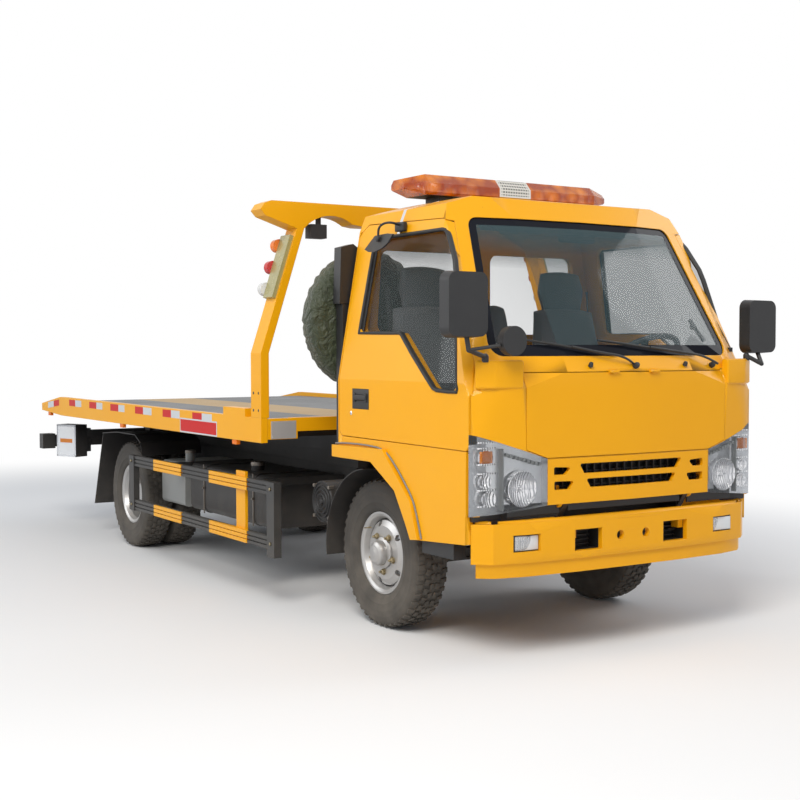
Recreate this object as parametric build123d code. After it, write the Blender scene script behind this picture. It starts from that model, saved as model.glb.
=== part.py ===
# A light cab-over tow truck with a tilting, sliding flatbed, a headframe and a wheel lift.
# Lengths are in mm. +X is forward, +Y is the truck's left and +Z is up from the ground.
# X is measured from the front axle; export moves each piece so that X = 0 is mid-length.
from build123d import *
from math import atan2, cos, degrees, pi, radians, sin, sqrt
import os

os.makedirs("parts", exist_ok=True)

# Driving dimensions
WHEELBASE = 3360
FRONT_REACH = 1065
MIRROR_REACH = 1122
REAR_REACH = 5090
RUN = 0.3

# Wheels and tyres
TYRE_R = 390
TYRE_W = 200
RIM_R = 203
RIM_FLANGE_R = 216
FRONT_WHEEL_Y = 708
TWIN_OUTER_Y = 830
TWIN_INNER_Y = 600

# Steering
KINGPIN_Y = 615
KINGPIN_R = 14
STEER_ARM = 150

# Ladder frame
RAIL_Y = 375
RAIL_FLANGE = 60
RAIL_T = 7
RAIL_Z0 = 545
RAIL_Z1 = 715
RAIL_X0 = -4345
RAIL_X1 = FRONT_REACH - 85

# Bed: the hinge, the sub-frame that tilts and the deck that slides on it
HINGE_X = -4300
HINGE_Z = 790
HINGE_R = 30
TILT_Y = 365
TILT_BEAM_W = 70
TILT_Z0 = 745
TILT_Z1 = 850
TILT_X1 = -900
DECK_X1 = -775
DECK_TAIL = 4955
DECK_HALF_W = 1100
DECK_FLOOR_Z = 1045
SIDE_RAIL_T = 40
SIDE_RAIL_Z0 = 930
SIDE_RAIL_Z1 = 1070
DECK_BEAM_Z0 = TILT_Z1 + RUN
DECK_BEAM_Z1 = 955

# Cab
CAB_HALF_W = 905
CAB_WALL = 45
CAB_REAR_X = -240
CAB_FLOOR_Z = 885
DOOR_GAP = 4
CAB_PIVOT_X = FRONT_REACH - 67
CAB_PIVOT_Z = 735
CAB_PIVOT_R = 14
CAB_LUG_R = 27

CUT_X = (FRONT_REACH - 165, FRONT_REACH + 35)
CAB_INNER_Y = CAB_HALF_W - CAB_WALL
CAB_BOX_Y = CAB_HALF_W + 95
SHIFT = (REAR_REACH - MIRROR_REACH) / 2
REAR_X = -WHEELBASE


def xz(y):
    """Plane whose local x and y are the truck's X and Z, at this y; it extrudes towards -Y."""
    return Plane(origin=(0, y, 0), x_dir=(1, 0, 0), z_dir=(0, -1, 0))


def yz(x):
    """Plane whose local x and y are the truck's Y and Z, at this x; it extrudes towards +X."""
    return Plane(origin=(x, 0, 0), x_dir=(0, 1, 0), z_dir=(1, 0, 0))


def outline(points, radius=0):
    wire = FilletPolyline(*points, radius=radius, close=True) if radius else Polyline(*points, close=True)
    return make_face(wire)


def box(x0, x1, y0, y1, z0, z1):
    return Pos((x0 + x1) / 2, (y0 + y1) / 2, (z0 + z1) / 2) * Box(x1 - x0, y1 - y0, z1 - z0)


def side_prism(points, y0, y1, radius=0):
    return extrude(xz(y1) * outline(points, radius), y1 - y0)


def front_prism(points, x0, x1, radius=0):
    return extrude(yz(x0) * outline(points, radius), x1 - x0)


def plan_prism(points, z0, z1, radius=0):
    return extrude(Plane.XY.offset(z0) * outline(points, radius), z1 - z0)


def rod(start, end, radius):
    start, end = Vector(*start), Vector(*end)
    run = end - start
    return extrude(Plane(origin=start, z_dir=run) * Circle(radius), run.length)


def disc(x, z, y0, y1, radius):
    return rod((x, y0, z), (x, y1, z), radius)


def flip(shape):
    return mirror(shape, about=Plane.XZ)


def both(shape):
    return [shape, flip(shape)]


def turned(x, z, *outlines):
    """A solid of revolution about the Y line through x and z; outline points are (radius, y)."""
    face = outline(outlines[0])
    for points in outlines[1:]:
        face += outline(points)
    section = Plane(origin=(x, 0, z), x_dir=(1, 0, 0), z_dir=(0, 0, 1)) * face
    return revolve(section, Axis((x, 0, z), (0, 1, 0)))


def fused(pieces):
    first, *rest = list(pieces)
    return first.fuse(*rest) if rest else first


def save(name, *pieces):
    solids = [s.moved(Location((SHIFT, 0, 0))) for piece in pieces for s in piece.solids()]
    whole = Compound(children=solids) if len(solids) > 1 else solids[0]
    export_step(whole, f"parts/{name}.step")


# Wheels: each tyre is one turned ring on its rim; half sections are (radius, distance from the middle)
TYRE_HALF = [(RIM_R + RUN, 69.2), (RIM_FLANGE_R + 0.5, 71.7), (232, 88), (300, TYRE_W / 2), (352, 97)]
TYRE_HALF += [(378, 84), (TYRE_R, 52)]
RIM_OUTER = [(RIM_FLANGE_R, 76), (RIM_FLANGE_R, 72), (RIM_R, 69.5), (190, 40)]
RIM_INNER = [(180, 40), (193, 67), (206, 76)]


def tyre(x, y):
    points = [(r, y - w) for r, w in TYRE_HALF] + [(r, y + w) for r, w in reversed(TYRE_HALF)]
    return turned(x, TYRE_R, points)


# Disc outlines are (radius, offset from the tyre's middle plane, towards the truck's outside)
HUB_BORE_R = 26
FRONT_DISC = [(192, -10), (170, 46), (140, 62), (66, 62), (60, 112), (44, 122), (0, 122), (0, 104)]
FRONT_DISC += [(HUB_BORE_R, 104), (HUB_BORE_R, -12), (76, -12), (80, 40), (136, 44), (160, 30), (183, -20)]
OUTER_DISC = [(186, -30), (172, -74), (150, -100), (78, -100), (78, -115), (154, -115), (176, -92)]
OUTER_DISC += [(190, -52)]
INNER_DISC = [(r, -offset) for r, offset in OUTER_DISC]
REAR_SPINDLE_R = 40
REAR_HUB = [(REAR_SPINDLE_R + RUN, 655), (92, 655), (92, 740), (80, 830), (66, 848), (0, 848), (0, 836)]
REAR_HUB += [(REAR_SPINDLE_R + RUN, 836)]
VENTS = 5
VENT_R = 17
VENT_CIRCLE = 156


def wheel_rim(x, y, side, disc_points):
    """A barrel with two flanges and a dished disc; side is +1 on the truck's left."""
    points = [(r, y + w) for r, w in RIM_OUTER] + [(r, y - w) for r, w in reversed(RIM_OUTER)]
    points += [(r, y - w) for r, w in reversed(RIM_INNER)] + [(r, y + w) for r, w in RIM_INNER]
    rim = turned(x, TYRE_R, points, [(r, y + side * w) for r, w in disc_points])
    for i in range(VENTS):
        a = 2 * pi * (i + 0.5) / VENTS
        centre_x, centre_z = x + VENT_CIRCLE * cos(a), TYRE_R + VENT_CIRCLE * sin(a)
        rim -= disc(centre_x, centre_z, y - 130, y + 130, VENT_R)
    return rim


for side, name in ((1, "left"), (-1, "right")):
    y = side * FRONT_WHEEL_Y
    save(f"front_tyre_{name}", tyre(0, y))
    save(f"front_rim_{name}", wheel_rim(0, y, side, FRONT_DISC))
    save(f"rear_tyres_{name}", tyre(REAR_X, side * TWIN_OUTER_Y), tyre(REAR_X, side * TWIN_INNER_Y))
    rims = wheel_rim(REAR_X, side * TWIN_OUTER_Y, side, OUTER_DISC)
    rims += wheel_rim(REAR_X, side * TWIN_INNER_Y, side, INNER_DISC)
    rims += turned(REAR_X, TYRE_R, [(r, side * hub_y) for r, hub_y in REAR_HUB])
    save(f"rear_rims_{name}", rims)

# Front axle: a dropped I-beam whose ends hold the kingpins
AXLE_BEAM = [(KINGPIN_Y, 352), (520, 352), (440, 312)]
AXLE_TOP = [(440, 376), (520, 418), (KINGPIN_Y, 418)]
AXLE_HALF_W = 34
half = AXLE_BEAM + [(-y, z) for y, z in reversed(AXLE_BEAM)]
half += [(-y, z) for y, z in reversed(AXLE_TOP)] + AXLE_TOP
axle = front_prism(half, -AXLE_HALF_W, AXLE_HALF_W)
for x in (-AXLE_HALF_W, 12):
    axle -= box(x, x + 22, -425, 425, 324, 364)
for y in (-KINGPIN_Y, KINGPIN_Y):
    axle += rod((0, y, 352), (0, y, 418), AXLE_HALF_W)
    axle -= rod((0, y, 340), (0, y, 430), KINGPIN_R + RUN)
save("front_axle", axle)

# Knuckles: a fork round the axle's end, its kingpin, the spindle and the steering arm
KNUCKLE_Z = (322, 448)
for side, name in ((1, "left"), (-1, "right")):
    y = side * KINGPIN_Y
    out = sorted((side * 595, side * 690))
    yoke = sorted((side * 658, side * 692))
    knuckle = box(-42, 42, yoke[0], yoke[1], KNUCKLE_Z[0], KNUCKLE_Z[1])
    for z0, z1 in ((KNUCKLE_Z[0], 349), (421, KNUCKLE_Z[1])):
        knuckle += box(-30, 30, out[0], out[1], z0, z1)
    knuckle += rod((0, y, KNUCKLE_Z[0]), (0, y, KNUCKLE_Z[1]), KINGPIN_R)
    spindle_end = side * (FRONT_WHEEL_Y + 100)
    knuckle += rod((0, side * 690, TYRE_R), (0, spindle_end, TYRE_R), HUB_BORE_R - RUN)
    arm_y = sorted((y - 17, y + 17))
    knuckle += box(-STEER_ARM - 20, 0, arm_y[0], arm_y[1], KNUCKLE_Z[0], 340)
    knuckle -= rod((-STEER_ARM, y, 300), (-STEER_ARM, y, 360), 8 + RUN)
    save(f"knuckle_{name}", knuckle)

# Tie rod: pinned under both steering arms
tie = rod((-STEER_ARM, -KINGPIN_Y, 300), (-STEER_ARM, KINGPIN_Y, 300), 12)
for y in (-KINGPIN_Y, KINGPIN_Y):
    tie += rod((-STEER_ARM, y, 286), (-STEER_ARM, y, 316), 19)
    tie += rod((-STEER_ARM, y, 310), (-STEER_ARM, y, 346), 8)
save("tie_rod", tie)

# Rear axle: a tube with its final drive and the drums that the hubs turn on
rear = rod((REAR_X, -645, TYRE_R), (REAR_X, 645, TYRE_R), 55)
rear += rod((REAR_X, -834, TYRE_R), (REAR_X, 834, TYRE_R), REAR_SPINDLE_R)
rear += fillet(rod((REAR_X - 130, 0, TYRE_R), (REAR_X + 110, 0, TYRE_R), 150).edges(), 50)
rear += rod((REAR_X + 100, 0, TYRE_R), (REAR_X + 200, 0, TYRE_R), 55)
for side in (1, -1):
    rear += rod((REAR_X, side * 540, TYRE_R), (REAR_X, side * 645, TYRE_R), 150)
save("rear_axle", rear)

# Leaf springs: curved packs under the rails, clamped to the axles and held in hangers
SPRING_Y = 340
SPRING_HALF_W = 32


def spring_pack(x, length, z_end, z_mid, leaves, seat_z):
    """A pack that bows down from its eyes to its middle, with shorter leaves below."""
    packs = []
    for i in range(leaves):
        share = 1 - 0.16 * i
        half_run = length / 2 * share
        sag = (z_end - z_mid) * share * share
        top = z_mid - 12 * i
        low = ThreePointArc((x - half_run, top + sag - 12), (x, top - 12), (x + half_run, top + sag - 12))
        high = ThreePointArc((x + half_run, top + sag), (x, top), (x - half_run, top + sag))
        ends = [Line(low @ 1, high @ 0), Line(high @ 1, low @ 0)]
        face = make_face(Wire([*low.edges(), ends[0].edges()[0], *high.edges(), ends[1].edges()[0]]))
        packs.append(extrude(xz(SPRING_Y + SPRING_HALF_W) * face, 2 * SPRING_HALF_W))
    pack = fused(packs)
    y0, y1 = SPRING_Y - SPRING_HALF_W, SPRING_Y + SPRING_HALF_W
    pack += box(x - 60, x + 60, y0, y1, seat_z, z_mid + 12)
    for end in (x - length / 2, x + length / 2):
        pack += box(end - 14, end + 14, y0 + 8, y1 - 8, z_end - 14, RAIL_Z0)
    return pack


front_spring = spring_pack(0, 1150, 505, 452, 3, 376)
rear_spring = spring_pack(REAR_X, 1250, 520, 482, 3, TYRE_R + 55 + RUN)
save("leaf_springs", *both(front_spring), *both(rear_spring))

# Ladder frame: two channels, cross members, the tilt hinge's plates and the rest strips
frame = []
for side in (1, -1):
    web = sorted((side * (RAIL_Y - RAIL_T), side * RAIL_Y))
    flange = sorted((side * (RAIL_Y - RAIL_FLANGE), side * RAIL_Y))
    frame.append(box(RAIL_X0, RAIL_X1, web[0], web[1], RAIL_Z0, RAIL_Z1))
    for z in (RAIL_Z0, RAIL_Z1 - RAIL_T):
        frame.append(box(RAIL_X0, RAIL_X1, flange[0], flange[1], z, z + RAIL_T))
    frame.append(box(-3900, TILT_X1 - 60, flange[0], flange[1], RAIL_Z1, TILT_Z0 - RUN))
CROSS_MEMBERS = [(900, 560, 700), (330, 560, 640), (-1260, 610, 700), (-1700, 610, 700)]
CROSS_MEMBERS += [(-2380, 600, 690)]
inside = RAIL_Y - RAIL_T
for x, z0, z1 in CROSS_MEMBERS:
    member = box(x - 35, x + 35, -inside, inside, z0, z1)
    member -= box(x - 28, x + 40, -inside, inside, z0 + RAIL_T, z1 - RAIL_T)
    frame.append(member)
CYLINDER_FOOT = (-3300, 575)
CYLINDER_HEAD = (-2150, 800)
CYLINDER_Y = 235
PIN_R = 20
frame.append(disc(CYLINDER_FOOT[0], CYLINDER_FOOT[1], -inside, inside, PIN_R))
HINGE_PLATE = [(HINGE_X - 60, 600), (HINGE_X + 90, 600), (HINGE_X + 45, HINGE_Z + 35)]
HINGE_PLATE += [(HINGE_X - 45, HINGE_Z + 35)]
HINGE_PLATE_Y = (412, 426)
for side in (1, -1):
    plate = sorted(side * y for y in HINGE_PLATE_Y)
    frame.append(side_prism(HINGE_PLATE, plate[0], plate[1], 8))
    spacer = sorted((side * inside, side * HINGE_PLATE_Y[0]))
    frame.append(box(HINGE_X - 20, HINGE_X + 60, spacer[0], spacer[1], 610, 705))
frame.append(disc(HINGE_X, HINGE_Z, -HINGE_PLATE_Y[1], HINGE_PLATE_Y[1], HINGE_R))
for x in (-430, 60):
    for side in (1, -1):
        mount = sorted((side * 262, side * inside))
        frame.append(box(x - 30, x + 30, mount[0], mount[1], 600, 640))
for side in (1, -1):
    bracket = sorted((side * (RAIL_Y - 3), side * (RAIL_Y + 27)))
    arm = [(880, 610), (945, 610), (CAB_PIVOT_X + 24, CAB_PIVOT_Z - 12)]
    arm += [(CAB_PIVOT_X - 20, CAB_PIVOT_Z + 18), (880, 700)]
    frame.append(side_prism(arm, bracket[0], bracket[1]))
    frame.append(disc(CAB_PIVOT_X, CAB_PIVOT_Z, bracket[0], bracket[1], CAB_LUG_R))
ladder = fused(frame)
for side in (1, -1):
    cut_y = sorted((side * (RAIL_Y - 10), side * (RAIL_Y + 40)))
    ladder -= disc(CAB_PIVOT_X, CAB_PIVOT_Z, cut_y[0], cut_y[1], CAB_PIVOT_R + RUN)
save("frame", ladder)

# Engine, one plain block, with its gearbox, propeller shaft and exhaust behind it
ENGINE_X = (-620, 180)
ENGINE_HALF_W = 262
save("engine", box(ENGINE_X[0], ENGINE_X[1], -ENGINE_HALF_W + RUN, ENGINE_HALF_W - RUN, 432, 850))
BELL = [(-190, 470), (190, 470), (190, 640), (90, 740), (-90, 740), (-190, 640)]
gearbox = front_prism(BELL, -820, ENGINE_X[0] - RUN, 30)
gearbox += front_prism([(-110, 480), (110, 480), (110, 640), (-110, 640)], -1120, -815, 25)
gearbox += rod((-1120, 0, 560), (-1180, 0, 560), 60)
gearbox += rod((-1170, 0, 560), (REAR_X + 240, 0, TYRE_R), 36)
gearbox += rod((REAR_X + 200 + RUN, 0, TYRE_R), (REAR_X + 250, 0, TYRE_R), 52)
save("driveline", gearbox)
MUFFLER_Y = 230
exhaust = rod((-1350, MUFFLER_Y, 440), (-1950, MUFFLER_Y, 440), 82)
exhaust += rod((-860, MUFFLER_Y, 440), (-1352, MUFFLER_Y, 440), 27)
exhaust += rod((-1948, MUFFLER_Y, 440), (-2320, MUFFLER_Y, 440), 27)
exhaust += rod((-2320, MUFFLER_Y, 440), (-2420, 860, 400), 27)
exhaust += Pos(-2320, MUFFLER_Y, 440) * Sphere(27)
for x in (-1450, -1850):
    exhaust += box(x - 12, x + 12, 318, 330, 440, RAIL_Z0 - RUN)
    exhaust += box(x - 12, x + 12, MUFFLER_Y, 330, 430, 450)
save("exhaust", exhaust)

# Tanks hung on the rails: fuel on the right, oil behind it, the batteries on the left
TANK_OUT_Y = 850


def tank(x0, x1, side, z0, z1, radius):
    y = sorted((side * (RAIL_Y + RUN), side * TANK_OUT_Y))
    return front_prism([(y[0], z0), (y[1], z0), (y[1], z1), (y[0], z1)], x0, x1, radius)


fuel = tank(-2380, -1180, -1, 375, 690, 45)
fuel += rod((-1650, -700, 680), (-1650, -700, 730), 42)
for x in (-2150, -1400):
    fuel += tank(x - 20, x + 20, -1, 370, 695, 45)
save("fuel_tank", fuel)
oil = tank(-2900, -2480, -1, 378, 676, 30)
oil += rod((-2600, -760, 660), (-2600, -760, 745), 34)
save("hydraulic_tank", oil)
save("battery_box", tank(-1750, -1180, 1, 400, 690, 20))

# Air cleaner across the right rail, with the intake duct that rises behind the cab
AIR_X, AIR_Z = -520, 612
air = disc(AIR_X, AIR_Z, -850, -470, 116)
air += disc(AIR_X, AIR_Z, -474, -RAIL_Y - RUN, 60)
DUCT_X = (-330, -262)
RISER_X = (-440, -372)
air += box(AIR_X - 20, RISER_X[0] + 30, -550, -478, 640, 700)
air += box(RISER_X[0], RISER_X[1], -550, -478, 640, 985)
air += box(RISER_X[0], DUCT_X[1], -550, -478, 905, 985)
air += box(DUCT_X[0], DUCT_X[1], -865, -478, 905, 985)
air += box(DUCT_X[0], DUCT_X[1], -865, -800, 905, 1715)
air += front_prism([(-885, 1700), (-780, 1700), (-770, 2000), (-800, 2020), (-875, 2000)], DUCT_X[0], -258)
save("air_intake", air)

# Bumper: one curved pressed shell with lamp pockets, openings and a plain centre plate
BUMPER_T = 28
BUMPER_PLAN = [(FRONT_REACH, 0), (FRONT_REACH - 19, 629), (FRONT_REACH - 55, 800), (FRONT_REACH - 127, 890)]
BUMPER_BACK = FRONT_REACH - 365


def bumper_band(inset, z0, z1):
    """The bumper's plan between two heights, pulled in by inset on its outside."""
    edge = [(x - inset, y - inset * (y > 700)) for x, y in BUMPER_PLAN]
    points = edge[1:] + [(FRONT_REACH - 245, 890 - inset)]
    loop = points + [(x, -y) for x, y in reversed(points)]
    nose = [(edge[0][0], -300), (edge[0][0], 300)]
    return plan_prism(loop + nose, z0, z1)


bumper = bumper_band(0, 470, 655) + bumper_band(12, 404, 472) + bumper_band(10, 650, 667)
bumper -= bumper_band(BUMPER_T, 400, 640)
bumper -= box(BUMPER_BACK, FRONT_REACH - 120, -900, 900, 400, 670)
bumper -= box(BUMPER_BACK, FRONT_REACH - 61, -800, 800, 640, 670)
bumper -= box(BUMPER_BACK, FRONT_REACH - 41, -450, 450, 640, 670)
for side in (1, -1):
    for y, half_w, z0, z1, depth in ((280, 82, 505, 605, 90), (629, 72, 522, 600, 62)):
        span = sorted((side * (y - half_w), side * (y + half_w)))
        bumper -= box(BUMPER_PLAN[1][0] - depth, CUT_X[1], span[0], span[1], z0, z1)
    bumper -= rod((CUT_X[0], side * 82, 561), (CUT_X[1], side * 82, 561), 22)
    carrier = sorted((side * (RAIL_Y - 45), side * (RAIL_Y - 5)))
    bumper += box(RAIL_X1 + RUN, FRONT_REACH - 35, carrier[0], carrier[1], 560, 645)
save("bumper", bumper)

# Fog lamps in the bumper's pockets
FOG_X = (FRONT_REACH - 55, FRONT_REACH - 37)
fog = box(FOG_X[0], FOG_X[1], 557 + RUN, 701 - RUN, 522 + RUN, 600 - RUN)
fog += box(FOG_X[0] - 35, FOG_X[0] + 2, 575, 683, 532, 590)
save("fog_lamps", *both(fog))

# Front mudguards: bands behind the wheels, on arms from the rails
GUARD_R = 440
GUARD_T = 5


def arc_band(x, z, radius, thick, start, stop, y0, y1):
    """A curved sheet round a Y line, from start to stop degrees measured from +X towards +Z."""
    inner = ThreePointArc(*[(x + radius * cos(radians(a)), z + radius * sin(radians(a)))
                            for a in (start, (start + stop) / 2, stop)])
    outer = ThreePointArc(*[(x + (radius + thick) * cos(radians(a)), z + (radius + thick) * sin(radians(a)))
                            for a in (stop, (start + stop) / 2, start)])
    edges = [inner, Line(inner @ 1, outer @ 0), outer, Line(outer @ 1, inner @ 0)]
    face = make_face(Wire([e.edges()[0] for e in edges]))
    return extrude(xz(y1) * face, y1 - y0)


splash = arc_band(0, TYRE_R, GUARD_R, GUARD_T, 96, 188, 560, 870)
splash += box(-440, -420, RAIL_Y + RUN, 566, 500, 528) + box(-440, -420, RAIL_Y + RUN, 392, 500, 600)
save("front_mudguards", *both(splash))

# Rear mudguards: a folded fender over each twin wheel, with a flap behind
FENDER = [(-3035, 700), (-3070, 790), (-3180, 842), (-3560, 842), (-3880, 818)]
FLAP = [(-3872, 818), (-4090, 246), (-4098, 246), (-3880, 818)]
under = [(x + 6 * (x < -3800), z - 7) for x, z in reversed(FENDER)]
fender = side_prism(FENDER + under, 490, 950) + side_prism(FLAP, 500, 945)
fender += box(-3700, -3660, RAIL_Y + RUN, 498, 680, 700) + box(-3700, -3660, 490, 498, 680, 834)
save("rear_mudguards", *both(fender))

# Side guards: two ribbed rails between end posts, with sleeves over them, on arms from the frame
SIDE_GUARD_Y = 1035
SIDE_GUARD_X = (-2925, -718)
SLEEVES = [(-2508, -2030), (-1580, -1043)]
guard = fused(
    [box(SIDE_GUARD_X[1] - 46, SIDE_GUARD_X[1] + 46, SIDE_GUARD_Y - 6, SIDE_GUARD_Y + 40, 292, 714)]
    + [box(SIDE_GUARD_X[0] - 45, SIDE_GUARD_X[0] + 45, SIDE_GUARD_Y - 6, SIDE_GUARD_Y + 36, 325, 712)]
    + [box(-1227, -1103, SIDE_GUARD_Y - 6, SIDE_GUARD_Y + 12, 340, 742)])
for z0 in (330, 638):
    guard += box(SIDE_GUARD_X[0], SIDE_GUARD_X[1], SIDE_GUARD_Y, SIDE_GUARD_Y + 20, z0, z0 + 74)
    for i in range(3):
        rib = (z0 + 2 + 26 * i, z0 + 20 + 26 * i)
        guard += box(SIDE_GUARD_X[0], SIDE_GUARD_X[1], SIDE_GUARD_Y + 18, SIDE_GUARD_Y + 30, *rib)
        for x0, x1 in SLEEVES:
            guard += box(x0, x1, SIDE_GUARD_Y + 10, SIDE_GUARD_Y + 34, rib[0] - 2, rib[1] + 2)
for x0, x1 in ((-2460, -2400), (-1165, -1115)):
    guard += box(x0, x1, RAIL_Y + RUN, SIDE_GUARD_Y + 5, 646, 690)
save("side_guards", *both(guard))

# Spare wheel under a soft cover, bolted to a carrier that stands on the rails behind the cab
SPARE = (-425, -620, 1613)
SPARE_HALF_W = 90
SPARE_R = 395
spare_face = SPARE[0] - SPARE_HALF_W
carrier = box(spare_face - 45, spare_face - 5, 330, 372, RAIL_Z1 + RUN, 1680)
carrier += box(spare_face - 45, spare_face - 5, -372, -330, RAIL_Z1 + RUN, 1680)
carrier += box(spare_face - 45, spare_face - 5, -760, 372, 1560, 1640)
carrier += rod((spare_face - 45, SPARE[1], SPARE[2]), (spare_face - RUN, SPARE[1], SPARE[2]), 110)
save("spare_carrier", carrier)
cover = rod((spare_face, SPARE[1], SPARE[2]), (spare_face + 2 * SPARE_HALF_W, SPARE[1], SPARE[2]), SPARE_R)
save("spare_wheel_cover", chamfer(cover.edges(), 45))

# Rear work lamps: deep square housings turned a little forward, on arms from the sub-frame's end
TILT_TAIL = -4450
LAMP = (-4480, 1000, 724)
LAMP_TURN = 25
lamp_box = Box(220, 120, 258) + Pos(0, 95, 0) * Box(150, 80, 190)
lamp = Pos(LAMP[0], -LAMP[1], LAMP[2]) * Rot(0, 0, LAMP_TURN) * lamp_box
lamp_arm = box(TILT_TAIL, TILT_TAIL + 45, TILT_Y + TILT_BEAM_W / 2 + RUN, 950, 752, 808)
save("rear_work_lamps", *both(lamp + flip(lamp_arm)))

# Tilting sub-frame: two box beams with cross tubes, hinged at the rear
TILT_TUBES = [-960, -2050, -3700]
tilt = []
for side in (1, -1):
    beam = sorted((side * (TILT_Y - TILT_BEAM_W / 2), side * (TILT_Y + TILT_BEAM_W / 2)))
    tilt.append(box(TILT_TAIL, TILT_X1, beam[0], beam[1], TILT_Z0, TILT_Z1))
for x in TILT_TUBES:
    tilt.append(box(x - 35, x + 35, -TILT_Y, TILT_Y, 778, 845))
LIFT_PIVOT = (-3700, 687)
LIFT_LUG_Y = (84, 104)
for side in (1, -1):
    lug = sorted(side * y for y in LIFT_LUG_Y)
    tilt.append(side_prism([(-3740, 645), (-3660, 645), (-3650, 800), (-3750, 800)], lug[0], lug[1]))
tilt.append(disc(LIFT_PIVOT[0], LIFT_PIVOT[1], -LIFT_LUG_Y[1], LIFT_LUG_Y[1], PIN_R))
HEAD_PIN_R = 16
BARREL_X = (-3850, -975)
RAM_R = 30
RAM_Z = 902
tilt.append(rod((BARREL_X[0], 0, RAM_Z), (BARREL_X[1], 0, RAM_Z), RAM_R + 12))
tilt.append(box(-985, -935, -40, 40, 840, 930))
tilt_frame = fused(tilt) - disc(HINGE_X, HINGE_Z, -450, 450, HINGE_R + RUN)
tilt_frame -= rod((BARREL_X[0] - 10, 0, RAM_Z), (BARREL_X[1] - 20, 0, RAM_Z), RAM_R + RUN)
tilt_frame += disc(CYLINDER_HEAD[0], CYLINDER_HEAD[1], -TILT_Y, TILT_Y, HEAD_PIN_R)
save("tilt_frame", tilt_frame)

# Tilt cylinders: barrels on the frame's cross shaft, and rods whose eyes are bored wide for the head pin
EYE_BORE_R = 33
EYE_R = 48
reach = Vector(CYLINDER_HEAD[0] - CYLINDER_FOOT[0], 0, CYLINDER_HEAD[1] - CYLINDER_FOOT[1])
along = reach.normalized()
foot = Vector(CYLINDER_FOOT[0], 0, CYLINDER_FOOT[1])
barrels, rams = [], []
for y in (CYLINDER_Y, -CYLINDER_Y):
    start = foot + Vector(0, y, 0)
    barrel = rod(start + along * 20, start + along * 860, 45)
    barrel += disc(CYLINDER_FOOT[0], CYLINDER_FOOT[1], y - 30, y + 30, PIN_R + 18)
    barrel -= rod(start + along * 60, start + along * 870, 28 + RUN)
    barrel -= disc(CYLINDER_FOOT[0], CYLINDER_FOOT[1], y - 40, y + 40, PIN_R + RUN)
    barrels.append(barrel)
    ram = rod(start + along * 80, start + along * (reach.length - 38), 28)
    ram += disc(CYLINDER_HEAD[0], CYLINDER_HEAD[1], y - 28, y + 28, EYE_R)
    ram -= disc(CYLINDER_HEAD[0], CYLINDER_HEAD[1], y - 40, y + 40, EYE_BORE_R)
    rams.append(ram)
save("tilt_cylinder_barrels", *barrels)
save("tilt_cylinder_rods", *rams)

# Wheel lift: a box boom, a boom that slides in it and a cross bar on its end
BOOM_HALF = 68
BOOM_WALL = 9
lift_x, lift_z = LIFT_PIVOT
boom = box(-4700, lift_x + 45, -BOOM_HALF, BOOM_HALF, lift_z - 65, lift_z + 65)
inner_half = BOOM_HALF - BOOM_WALL
boom -= box(-4720, lift_x - 60, -inner_half, inner_half, lift_z - 65 + BOOM_WALL, lift_z + 65 - BOOM_WALL)
boom -= disc(lift_x, lift_z, -100, 100, PIN_R + RUN)
save("lift_boom", boom)
INNER_TOP = 65 - BOOM_WALL - RUN
CROSS_X = -5040
inner = box(-4980, lift_x - 90, -inner_half + RUN, inner_half - RUN, lift_z - INNER_TOP, lift_z + INNER_TOP)
hollow = INNER_TOP - 9
inner -= box(-4930, lift_x, 10 - inner_half, inner_half - 10, lift_z - hollow, lift_z + hollow)
inner += box(CROSS_X - 45, -4960, -55, 55, lift_z - 62, lift_z - INNER_TOP + 4)
inner += box(CROSS_X - 45, -4960, -55, 55, lift_z + INNER_TOP - 4, lift_z + 62)
inner += rod((CROSS_X, 0, lift_z - 62), (CROSS_X, 0, lift_z + 62), PIN_R)
save("lift_inner_boom", inner)
cross = box(CROSS_X - 38, CROSS_X + 38, -985, 985, lift_z - 48, lift_z + 48)
cross -= rod((CROSS_X, 0, 500), (CROSS_X, 0, 900), PIN_R + RUN)
for side in (1, -1):
    end = sorted((side * 980, side * 1085))
    cross += box(CROSS_X - 50, CROSS_X + 50, end[0], end[1], lift_z - 62, lift_z + 62)
    cross -= rod((CROSS_X, side * 1035, 500), (CROSS_X, side * 1035, 900), 26)
save("lift_cross_bar", cross)

# Deck side rails: straight to the hump, then falling to the tail, joined by the tail bar
HUMP_X = -4420
rail_side = [(DECK_X1, SIDE_RAIL_Z0), (DECK_X1, SIDE_RAIL_Z1), (HUMP_X + 40, 1078), (HUMP_X - 40, 1078)]
rail_side += [(-DECK_TAIL, 1012), (-DECK_TAIL, 955), (HUMP_X, SIDE_RAIL_Z0)]
rail_inner = DECK_HALF_W - SIDE_RAIL_T
side_rails = both(side_prism(rail_side, rail_inner, DECK_HALF_W))
side_rails.append(box(-DECK_TAIL, -DECK_TAIL + 30, -rail_inner, rail_inner, 957, 1004))
POCKET_X = (-1288, -986)
for y0, y1 in ((rail_inner - 25, DECK_HALF_W), (-DECK_HALF_W, 25 - rail_inner)):
    side_rails.append(box(POCKET_X[0], POCKET_X[1], y0, y1, DECK_FLOOR_Z + RUN, 1118))
save("deck_side_rails", fused(side_rails))

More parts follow.
